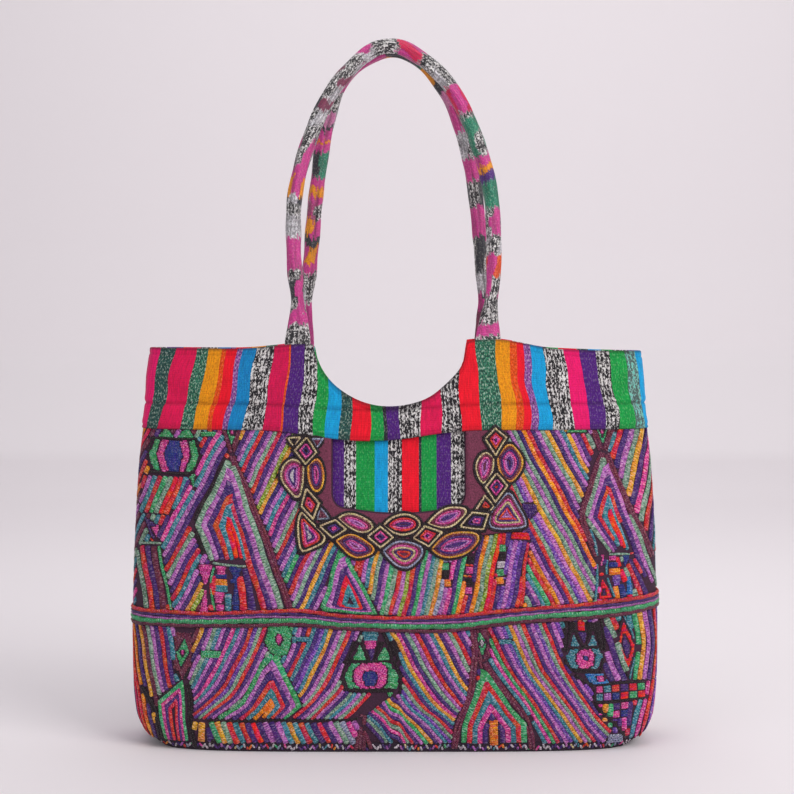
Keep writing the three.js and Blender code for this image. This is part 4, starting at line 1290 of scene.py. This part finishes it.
class TOTEBAG_OT_yokes(bpy.types.Operator):
    """Makes the two striped yokes with their turned rims and stitched lines"""

    bl_idname = "totebag.yokes"
    bl_label = "Yokes"

    def execute(self, context):
        woven = woven_material("warp_striped_cotton", context.scene.tote_sizes.weave_roughness)
        fine = [SCOOP_X + side * d for side in (-1, 1)
                for d in (50, 54, 57, 60, 62, 64, 65.5, 66.8, 68, 69.5)]
        for face in ("front", "back"):
            sign = 1 if face == "front" else -1
            reach = float(half_length(310)) - CLEARANCE
            stripes = YOKE_STRIPES if face == "front" else [
                (end - 150 if end < 900 else 1200, kind)
                for end, kind in YOKE_STRIPES[:-1] + [(e + 483, k) for e, k in YOKE_STRIPES[3:-1]]]
            edges, kinds = stripe_columns(stripes, -reach, reach, 3.4, fine)
            section_line = rounded_section(64, BODY_CLOTH / 2 + CLEARANCE,
                                           BODY_CLOTH / 2 + CLEARANCE + YOKE_CLOTH)
            mesh, column, row = lay_grid(len(edges) - 1, len(section_line) - 1)
            flat_x = edges[column]
            t, rise, lift = section_line[row].T
            run0 = run_at(sign * flat_x, YOKE_MIDDLE)
            limit = half_length(YOKE_MIDDLE) - CLEARANCE / 2
            run0 = np.clip(run0, -limit, limit)
            x0 = wall(face, run0, np.full(len(run0), YOKE_MIDDLE))[:, 0]
            top = scooped_rim(face, run0, x0)
            z = mix(hem_height(run0), top, t) + rise
            fade = ease((limit - np.abs(run0)), 0, 30)
            tilt = np.clip((-x0 - 40) / 110, 0, 1) * 0.07
            right = ease(x0, 40, 90)
            shift = fade * (tilt * (z - YOKE_MIDDLE) - 1.2 * ease(-x0, 40, 100) * (1 - ease(z, 291, 298))
                            + right * 2.0 * np.sin((z - 268) / 40 * np.pi) * (1 - ease(z, 306, 325))
                            + 0.8 * np.sin(z / 8 + x0 / 12))
            run = (run0 + shift) * (half_length(z) - CLEARANCE / 2) / limit
            outer = ease(lift, 2.0, 3.2)
            from_rim, from_hem = top - z, z - hem_height(run0)
            pucker = 0.5 + 0.5 * np.sin(x0 / 2.1 + 1.3 * np.sin(x0 / 9))
            crease = 294.5 - 5 * hump((x0 + 20) / 110)
            seams = (0.5 * groove(from_rim - 4.2, 1.0) + 0.5 * groove(from_hem - 2.4, 1.0)
                     + 0.95 * groove(z - crease, 1.4))
            dent = 1.1 * seams * (0.75 + 0.5 * pucker)
            soft = (0.35 * np.sin(x0 / 7.5 + z / 14) * np.sin(z / 9 + x0 / 31)
                    + 0.25 * pucker * groove(from_rim - 8, 5))
            roll = 0.5 * groove(z - crease - 4, 3.2) + 0.35 * groove(from_hem - 5.5, 3)
            set_places(mesh, wall(face, run, z, lift + outer * (soft + roll - dent - 0.3)))
            # Painted shade: dark in the stitched grooves and the crease, at the hem's edge and along the rim,
            # widest along the scoop.
            rim_shadow = mix(1.3, 2.6, ease(RIM_HEIGHT - top, 2, 10))
            shade = outer * np.clip(0.3 * seams + 0.5 * groove(from_hem + 0.2, 1.3)
                                    + 0.6 * groove(from_rim + 0.4, rim_shadow), 0, 0.8)
            set_point_attribute(mesh, "shade", "FLOAT_VECTOR", np.stack([shade, shade * 0, shade * 0], 1))
            paint_stripes(mesh, kinds, face_columns(mesh, column), flat_x, z + shift,
                          3.0 if sign > 0 else 9.0)
            sew(mesh, fill=True)
            face_outwards(mesh)
            made = piece(f"{face}_yoke_cloth", mesh, woven, [f"{face}_yoke"])
            at = np.linspace(-limit, limit, 400)
            at_x = wall(face, at, np.full(len(at), YOKE_MIDDLE))[:, 0]
            tall = scooped_rim(face, at, at_x) - hem_height(at)
        return {"FINISHED"}


def collar_outline():
    """The collar's outer edge as x and height."""
    across = COLLAR_X + COLLAR_POINTS[:, 0] * COLLAR_WIDTH / 2
    return np.stack([across, RIM_HEIGHT - YOKE_DROP - COLLAR_POINTS[:, 1] * COLLAR_DROP], 1)


# Diamonds of the collar: centre and corners in chart steps.
DIAMONDS = [
    [(306, 436.5), (318, 453), (306, 465), (294, 451)], [(306, 487), (320.5, 503), (315, 520), (301.5, 506)],
    [(319, 526), (336, 519.5), (347.5, 528.5), (332.5, 538.5)],
    [(366, 536), (380, 525.5), (394, 537), (380, 547.5)],
    [(411, 537), (425, 524), (443, 532), (428, 546.5)], [(458, 527.5), (472, 511.5), (489, 513), (483, 529)],
    [(496, 472), (507, 487), (495, 504), (484, 487)], [(483, 439), (495, 428), (507, 439), (495.5, 458)],
]
# Leaves between them: outlines in chart steps. The letters of their nested rows come in turn.
LEAVES = [
    [(305, 464), (292, 457), (278, 474), (285, 489), (302, 504)],
    [(308, 464), (320, 456), (326, 475), (319, 496), (308, 486)],
    [(303, 510), (297, 520), (299, 552), (310, 549), (330, 540), (317, 526)],
    [(320, 506), (318, 520), (331, 520), (326, 512)],
    [(337, 519), (348, 512), (362, 514), (377, 526), (364, 534), (349, 527)],
    [(335, 540), (350, 531), (364, 538), (378, 549), (366, 556), (350, 557)],
    [(382, 526), (395, 515), (412, 513), (424, 523), (411, 534), (395, 535)],
    [(382, 550), (394, 540), (410, 540), (426, 548), (414, 566), (400, 568), (390, 560)],
    [(427, 523), (440, 509), (456, 506), (471, 510), (457, 525), (443, 530)],
    [(430, 548), (443, 535), (458, 531), (481, 531), (474, 548), (455, 558), (440, 556)],
    [(474, 511), (484, 495), (495, 506), (490, 512)],
    [(490, 513), (497, 504), (507, 490), (516, 503), (527, 521), (523, 530), (486, 530)],
    [(494, 458), (484, 450), (475, 464), (477, 478), (484, 486), (494, 472)],
    [(497, 458), (508, 443), (519, 452), (525, 464), (518, 478), (507, 486), (498, 472)],
    [(301, 437), (294, 449), (286, 438)], [(310, 439), (317, 450), (324, 440)],
]
LEAF_LETTERS = ["CMKLPWRKGV", "AMPKLPRKGA", "CDRKPWKRBK", "GMKCPRLKPR"]


def shrunk(outline, by):
    """A corner shape drawn in by a distance on every side."""
    shape = np.asarray(outline, float)
    after = np.roll(shape, -1, 0)
    turned = 1 if (after[:, 1] * shape[:, 0] - after[:, 0] * shape[:, 1]).sum() > 0 else -1
    d = after - shape
    d /= np.maximum(np.hypot(d[:, 0], d[:, 1]), 1e-9)[:, None]
    side = np.stack([-d[:, 1], d[:, 0]], 1) * turned
    before = np.roll(side, 1, 0)
    joined = side + before
    joined /= np.maximum(np.hypot(joined[:, 0], joined[:, 1]), 0.5)[:, None] ** 2 / 2
    return shape + joined * by


def nested(work, outline, letters, pitch, height):
    """Closed rows one inside the other, until the shape is full."""
    centre = np.mean(np.asarray(outline, float), axis=0)
    room = min(np.hypot(*(centre - (np.asarray(a, float) + np.asarray(b, float)) / 2))
               for a, b in zip(outline, list(outline[1:]) + [outline[0]]))
    for i, letter in enumerate(letters):
        by = pitch * (i + 0.5)
        if by > room - pitch * 0.2:
            break
        work.patch(None, [shrunk(outline, by)], letter, pitch * 1.1, height, closed=True,
                   curved=len(outline) > 4)


class TOTEBAG_OT_collar(bpy.types.Operator):
    """Makes the collar's cloth and its embroidered diamonds and leaves"""

    bl_idname = "totebag.collar"
    bl_label = "Collar"

    def execute(self, context):
        low = BODY_CLOTH / 2 + CLEARANCE
        centre = np.array([NECK_X, 245.0])
        hem = RIM_HEIGHT - YOKE_DROP - 2 * CLEARANCE

        def by_angle(line):
            away = line - centre
            angle = np.degrees(np.arctan2(away[:, 1], away[:, 0])) % 360
            return np.where(angle < 90, angle + 360, angle), line

        outer = resample(collar_outline(), 1.5)
        outer = outer[outer[:, 1] <= hem]
        outer = np.concatenate([[[outer[0, 0], hem]], outer, [[outer[-1, 0], hem]]])
        inner = resample(neck_outline(1, hem), 1.5)
        outer_angle, outer = by_angle(outer)
        inner_angle, inner = by_angle(inner)
        order = np.argsort(outer_angle)
        outer_angle, outer = outer_angle[order], outer[order]
        share = (outer_angle - outer_angle[0]) / (outer_angle[-1] - outer_angle[0])
        at = inner_angle[0] + share * (inner_angle[-1] - inner_angle[0])
        inner = np.stack([np.interp(at, inner_angle, inner[:, i]) for i in (0, 1)], 1)
        mesh, column, row = lay_grid(len(outer) - 1, 12)
        flat = mix(inner[column], outer[column], (row / 12)[:, None])
        run = run_at(flat[:, 0], flat[:, 1])
        sag = hem + 2 * CLEARANCE - hem_height(run)
        flat[:, 1] -= (sag + 0.2) * ease(flat[:, 1], hem - 30, hem)
        set_places(mesh, wall("front", run, flat[:, 1], low))
        face_to(mesh, -1)
        thicken(mesh, COLLAR_CLOTH)
        plum = ground_material("plum_cotton_facing", "#6E2F47")
        made = piece("collar_cloth", mesh, plum, ["collar"])
        work = Stitchwork("front", 21, lift=low + COLLAR_CLOTH)
        work.on_collar = True
        for i, leaf in enumerate(LEAVES):
            leaf = shrunk(leaf, -1.3)
            work.patch(None, [leaf], "D", 3.0, 1.0, closed=True, curved=True)
            nested(work, shrunk(leaf, 0.9), LEAF_LETTERS[i % 4], 2.05, 1.1)
        for i, diamond in enumerate(DIAMONDS):
            diamond = shrunk(diamond, -1.2)
            work.patch(diamond, satin(diamond, 0, 2.4), "D" * 20, 2.6, 0.9)
            work.patch(None, [diamond], "D", 3.0, 1.5, closed=True)
            nested(work, shrunk(diamond, 1.0), ["CDKPRW", "CDRKPW", "CDPKVR"][i % 3], 2.0, 1.6)
        thread = bpy.data.materials.get("stranded_cotton_rows") or thread_material(
            "stranded_cotton_rows", context.scene.tote_sizes.thread_gloss, THREAD_SHEEN)
        piece("collar_embroidery", work.mesh(), thread)
        return {"FINISHED"}


def face_to(mesh, y):
    """Turns a single sheet's faces to look along or against Y."""
    bm = bmesh.new()
    bm.from_mesh(mesh)
    bmesh.ops.recalc_face_normals(bm, faces=bm.faces)
    bm.faces.ensure_lookup_table()
    if sum(f.normal.y for f in bm.faces) * y < 0:
        bmesh.ops.reverse_faces(bm, faces=bm.faces)
    bm.to_mesh(mesh)
    bm.free()


class TOTEBAG_OT_inset(bpy.types.Operator):
    """Makes the striped cloth behind the neck opening"""

    bl_idname = "totebag.inset"
    bl_label = "Neck inset"

    def execute(self, context):
        woven = bpy.data.materials["warp_striped_cotton"]
        outline = neck_outline(8, 300)
        low, high = outline[0, 0] + 0.5, outline[-1, 0] - 0.5
        edges, kinds = stripe_columns(INSET_STRIPES, low, high, 3.0)
        kinds += [kinds[-1]] * (len(edges) - 1 - len(kinds))
        order = np.argsort(outline[1:-1, 0], kind="stable")
        floor = np.interp(edges, outline[1:-1][order, 0], outline[1:-1][order, 1])
        top_lift = -BODY_CLOTH / 2 - CLEARANCE
        section_line = rounded_section(24, top_lift - INSET_CLOTH, top_lift, 6)
        mesh, column, row = lay_grid(len(edges) - 1, len(section_line) - 1)
        t, rise, lift = section_line[row].T
        x = edges[column]
        run = run_at(x, 250)
        z = mix(floor[column] + 0.6, hem_height(run) + YOKE_LAP - 1, t) + rise
        set_places(mesh, wall("front", run_at(x, z), z, lift + 0.2 * np.sin(x / 6) * np.sin(z / 11)))
        paint_stripes(mesh, kinds, face_columns(mesh, column), x, z, 15.0)
        sew(mesh, fill=True)
        face_outwards(mesh)
        made = piece("neck_inset_cloth", mesh, woven, ["neck_inset"])
        tall = hem_height(run_at(edges, 250)) + YOKE_LAP - 1 - floor
        return {"FINISHED"}


# Cords of the braid, from the top down: height from its middle, half height, letter.
BRAID_CORDS = [(5.4, 1.7, "R"), (2.9, 1.3, "P"), (0.9, 1.1, "L"), (-1.9, 2.3, "E"), (-5.3, 1.6, "M")]


class TOTEBAG_OT_braid(bpy.types.Operator):
    """Makes the braid of twisted cords round the body's seam"""

    bl_idname = "totebag.braid"
    bl_label = "Seam braid"

    def execute(self, context):
        thread = bpy.data.materials["stranded_cotton_rows"]
        inner = BODY_CLOTH / 2 + CLEARANCE
        steps, sides = 760, 8
        for i, (level, half, letter) in enumerate(BRAID_CORDS):
            mesh, column, row = lay_grid(steps, sides)
            turn = (column % steps) / steps
            angle = (row % sides) / sides * 2 * math.pi
            along = turn * 1080
            twist = 1 + 0.16 * np.cos(2 * (angle - along / 4.2))
            drift = 0.4 * np.sin(along / 23 + i) + 0.25 * np.sin(along / 9 + 2 * i)
            z = braid_height(turn) + level + drift + half * twist * np.sin(angle)
            out = inner + 1.15 + (0.95 + 0.15 * half) * twist * np.cos(angle)
            set_places(mesh, wall_round(turn, z, out))
            code, fleck = THREADS[letter]
            tone = 0.9 + 0.12 * np.sin(along / 13 + i * 2)
            colours = np.concatenate([np.array(linear(code))[None] * tone[:, None],
                                      np.full((len(turn), 1), fleck)], 1)
            set_point_attribute(mesh, "thread", "FLOAT_COLOR", colours)
            set_point_attribute(mesh, "stitch", "FLOAT_VECTOR",
                                np.stack([along, angle - math.pi, np.full(len(turn), i * 3.0)], 1))
            sew(mesh)
            face_outwards(mesh)
            piece(f"braid_cord_{i + 1}", mesh, thread, ["seam_braid"] if i == 0 else ())
        return {"FINISHED"}


class TOTEBAG_OT_base(bpy.types.Operator):
    """Makes the dark base, turned up to meet the body. Its colour, darker than the body's ground, is painted
    shade under the body's overhang.
    """

    bl_idname = "totebag.base"
    bl_label = "Base"

    def execute(self, context):
        half = BODY_CLOTH / 2
        top = BASE_TURN_UP
        line = [(r, 0, half) for r in (0, 0.3, 0.6, 0.85, 0.97, 0.995)]
        line += [(1, 0.25, half), (1, 0.8, half)] + [(1, z, half) for z in (2, 3.5, 5, 6.5, 8)]
        line += [(1, top - 0.3, half - 0.2), (1, top, half - 0.7),
                 (1, top, -half + 0.7), (1, top - 0.3, -half + 0.1)]
        line += [(1, z, -half) for z in (6, 4, 2.6)] + [(r, 2.2, -half) for r in (0.995, 0.9, 0.6, 0.3, 0)]
        line = np.array(line)
        steps = 320
        mesh, column, row = lay_grid(steps, len(line) - 1)
        reach, z, lift = line[row].T
        places = wall_round((column % steps) / steps, z, lift)
        places[:, :2] *= reach[:, None]
        set_places(mesh, places)
        sew(mesh)
        face_outwards(mesh)
        # Painted shade: the base cloth is coloured darker than the body's ground, for the shade under the
        # body's overhang.
        dark = ground_material("base_cotton_painted_shade", "#2B1B2C")
        piece("base_cloth", mesh, dark, ["base_panel"])
        return {"FINISHED"}


def curve_points(points, count):
    """Even points along a centripetal curve through the given ones, with its length."""
    points = np.asarray(points, float)
    padded = np.vstack([2 * points[0] - points[1], points, 2 * points[-1] - points[-2]])
    out = []
    for i in range(1, len(padded) - 2):
        p0, p1, p2, p3 = padded[i - 1:i + 3]
        d0, d1, d2 = (max(np.linalg.norm(q - p) ** 0.5, 1e-4) for p, q in ((p0, p1), (p1, p2), (p2, p3)))
        m1 = ((p1 - p0) / d0 - (p2 - p0) / (d0 + d1) + (p2 - p1) / d1) * d1
        m2 = ((p2 - p1) / d1 - (p3 - p1) / (d1 + d2) + (p3 - p2) / d2) * d1
        t = np.linspace(0, 1, 41)[:-1 if i < len(padded) - 3 else None, None]
        out.append((2 * t ** 3 - 3 * t ** 2 + 1) * p1 + (t ** 3 - 2 * t ** 2 + t) * m1
                   + (-2 * t ** 3 + 3 * t ** 2) * p2 + (t ** 3 - t ** 2) * m2)
    fine = np.concatenate(out)
    reach = np.r_[0, np.cumsum(np.linalg.norm(np.diff(fine, axis=0), axis=1))]
    at = np.linspace(0, reach[-1], count)
    return np.stack([np.interp(at, reach, fine[:, i]) for i in range(3)], 1), reach[-1]


# Bands of each handle from its left foot over the top to its right foot: where each ends, as a place
# in chart steps on the handle, and its kind, or two kinds that share it in streaks.
HANDLE_BANDS = {
    "front": [
        (298, 326, "ikat"), (295, 312, "hotpink"), (295, 300, "ikat/hotpink"), (294, 280, "dark/hotpink"),
        (292, 270, "ikat/pinkish"), (290, 238, "hotpink"), (293, 215, "mist2"), (294, 205, "ikat"),
        (295, 196, "dark/mist2"), (298, 176, "amber/hotpink"), (300, 166, "hotpink"),
        (303, 150, "ikat/hotpink"),
        (306, 138, "ikat/hotpink"), (311, 124, "ikat"), (317, 107, "mist2/ikat"), (322, 96, "plum/dark"),
        (330, 78, "mist2/ikat"), (340, 63, "plum/ikat"), (356, 50, "mist2/ikat"), (372, 44, "hotpink/mist2"),
        (400, 42, "ikat"), (427, 53, "rose/hotpink"), (440, 66, "ikat"), (455, 84, "mist2/ikat"),
        (468, 113, "rose/hotpink"), (469, 118, "ikat"), (475, 133, "seagreen"), (480, 158, "ikat/seagreen"),
        (482, 167, "hotpink"), (484, 174, "amber"), (486, 183, "purple"), (489, 211, "seagreen"),
        (492, 238, "ikat/hotpink"), (492, 257, "mist2/ikat"), (491, 278, "fine/hotpink"),
        (489, 300, "ikat/hotpink"),
        (487, 325, "ikat"), (486, 338, "hotpink"), (486, 360, "ikat"),
    ],
    "back": [
        (310, 305, "hotpink"), (312, 288, "mist2/ikat"), (315, 273, "ikat"), (316, 262, "hotpink"),
        (316, 246, "amber/hotpink"), (317, 236, "dark"), (318, 218, "hotpink/amber"),
        (319, 202, "ikat/pinkish"),
        (320, 195, "hotpink"), (320, 185, "amber"), (321, 176, "hotpink"), (324, 150, "dark/seagreen"),
        (327, 141, "hotpink"), (328, 138, "amber"), (331, 128, "hotpink"), (332, 124, "dark"),
        (337, 109, "palepink/mist2"), (343, 90, "ikat"), (360, 62, "hotpink"), (385, 50, "hotpink"),
        (405, 56, "amber/dark"), (420, 66, "seagreen/dark"), (434, 80, "amber"), (440, 92, "dark/seagreen"),
        (446, 108, "palepink"), (455, 132, "hotpink"), (463, 158, "ikat/mist2"), (467, 180, "hotpink"),
        (471, 206, "ikat/dark"), (474, 236, "hotpink"), (476, 275, "ikat/dark"), (478, 295, "mist2"),
        (480, 312, "dark/hotpink"), (480, 360, "plum"),
    ],
}


class TOTEBAG_OT_handles(bpy.types.Operator):
    """Makes the two rolled handles with their dyed bands and flattened tabs"""

    bl_idname = "totebag.handles"
    bl_label = "Handles"

    def execute(self, context):
        woven = woven_material("rolled_tie_dyed_cotton", HANDLE_ROUGHNESS, HANDLE_SPECULAR)
        foot = RIM_HEIGHT - TAB_DEPTH
        behind = BODY_CLOTH / 2 - TAB_THICKNESS / 2
        for face, facing in (("front", -1), ("back", 1)):
            line = np.array(HANDLE_LINES[face])
            ends = [line[0, 0] * HANDLE_REACH, line[-1, 0] * HANDLE_REACH]
            feet = [wall(face, run_at(x, foot), foot, behind) for x in ends]
            normals = [wall(face, run_at(x, foot), foot, 1) - wall(face, run_at(x, foot), foot, 0)
                       for x in ends]
            crown = facing * (HANDLE_DIAMETER + HANDLE_TOP_GAP) / 2
            points = np.stack([line[:, 0] * HANDLE_REACH, mix(feet[0][1], crown, line[:, 1]),
                               foot + line[:, 1] * HANDLE_RISE], 1)
            count, sides = 640, 40
            middle, length = curve_points(points, count + 1)
            tangent = np.gradient(middle, axis=0)
            tangent /= np.linalg.norm(tangent, axis=1)[:, None]
            share = np.linspace(0, 1, count + 1)
            flat = mix(normals[0][None], normals[1][None], share[:, None])
            thin = flat - (flat * tangent).sum(1)[:, None] * tangent
            thin /= np.linalg.norm(thin, axis=1)[:, None]
            wide = np.cross(tangent, thin)
            away = np.minimum(share, 1 - share) * length
            diameter = mix(HANDLE_DIAMETER, HANDLE_WAIST, hump((away - TAB_TAPER_END) / HANDLE_WAIST_REACH))
            half_width = mix(TAB_WIDTH, diameter, ease(away, TAB_TAPER_START, TAB_TAPER_END)) / 2
            half_thick = mix(TAB_THICKNESS, diameter, ease(away, TAB_SWELL_START, TAB_TAPER_END)) / 2
            mesh, column, row = lay_grid(count, sides)
            angle = (row % sides) / sides * 2 * math.pi
            along = share[column] * length
            crease = (0.03 * np.sin(11 * angle + along / 60 + np.sin(along / 13))
                      + 0.06 * np.sin(3 * angle + along / 31) * np.sin(along / 17)
                      + 0.045 * np.sin(5 * angle - along / 12)
                      + 0.03 * np.sin(along / 5.5 + 2 * np.sin(angle)))
            from_seam = np.mod(angle - 4.2 - along / 900 + math.pi, 2 * math.pi) - math.pi
            seam = -0.14 * groove(from_seam, 0.16)
            swell = 0.97 + (crease + seam) * ease(half_thick[column], 2, 5)
            places = (middle[column] + wide[column] * (half_width[column] * np.cos(angle) * swell)[:, None]
                      + thin[column] * (half_thick[column] * np.sin(angle) * swell)[:, None])
            set_places(mesh, places)
            bands = HANDLE_BANDS[face]
            marks = chart([(x, y) for x, y, _ in bands])
            at = np.array([((middle[:, [0, 2]] - m) ** 2).sum(1).argmin() for m in marks]) / count * length
            at = np.maximum.accumulate(at)
            ragged = (1.1 * np.sin(2 * angle + along / 21) + 0.8 * np.sin(5 * angle + along / 4.3)
                      + 0.6 * np.sin(9 * angle - along / 3.1) + 0.4 * np.sin(17 * angle + along / 1.9)
                      + np.random.default_rng(31 + facing).normal(0, 1.5, sides)[row % sides])
            places_in_bands = np.clip(np.searchsorted(at, along + ragged), 0, len(bands) - 1)
            streak = (np.sin(2 * angle + along / 19 + 0.5 * np.sin(along / 3.7))
                      + 0.35 * np.sin(7 * angle + along / 5.3))
            both = [(b[2].split("/") * 2)[:2] for b in bands]
            kinds = [both[b][0] if s > 0 else both[b][1] for b, s in zip(places_in_bands, streak)]
            colours = np.array([[*linear(STRIPES[k][0]), 1] for k in kinds])
            dyes = np.array([[STRIPES[k][1], STRIPES[k][2], 0] for k in kinds])
            set_point_attribute(mesh, "stripe", "FLOAT_COLOR", colours)
            set_point_attribute(mesh, "dye", "FLOAT_VECTOR", dyes)
            # Painted shade: darker in the handle's creases and along its rolled seam.
            painted_fold_shade = np.clip(-3.2 * (crease + seam), 0, 0.55)
            set_point_attribute(mesh, "shade", "FLOAT_VECTOR", np.stack([painted_fold_shade, painted_fold_shade * 0, painted_fold_shade * 0], 1))
            swirl = angle * 6.5 + 2.5 * np.sin(along / 17)
            set_point_attribute(mesh, "cloth", "FLOAT_VECTOR",
                                np.stack([swirl, along * 1.25, np.full(len(along), 20.0 + facing)], 1))
            sew(mesh, fill=True)
            face_outwards(mesh)
            piece(f"{face}_handle_roll", mesh, woven, [f"{face}_handle"])
        return {"FINISHED"}


CLASSES = [ToteBagSizes, ToteBagColours, TOTEBAG_OT_stage, TOTEBAG_OT_body, TOTEBAG_OT_yokes,
           TOTEBAG_OT_inset, TOTEBAG_OT_collar, TOTEBAG_OT_braid, TOTEBAG_OT_base, TOTEBAG_OT_handles]
STEPS = ["stage", "body", "yokes", "inset", "collar", "braid", "base", "handles"]


class TOTEBAG_PT_panel(bpy.types.Panel):
    """Lists the steps that build the bag"""

    bl_label = "Tote Bag"
    bl_space_type = "VIEW_3D"
    bl_region_type = "UI"
    bl_category = "Tote Bag"

    def draw(self, context):
        for kind in CLASSES:
            if issubclass(kind, bpy.types.Operator):
                self.layout.operator(kind.bl_idname)


def register():
    for kind in [*CLASSES, TOTEBAG_PT_panel]:
        bpy.utils.register_class(kind)
    bpy.types.Scene.tote_sizes = bpy.props.PointerProperty(type=ToteBagSizes)
    bpy.types.Scene.tote_colours = bpy.props.PointerProperty(type=ToteBagColours)


def unregister():
    del bpy.types.Scene.tote_sizes, bpy.types.Scene.tote_colours
    for kind in reversed([*CLASSES, TOTEBAG_PT_panel]):
        bpy.utils.unregister_class(kind)


def main():
    register()
    for step in STEPS:
        getattr(bpy.ops.totebag, step)()


if __name__ == "__main__":
    main()
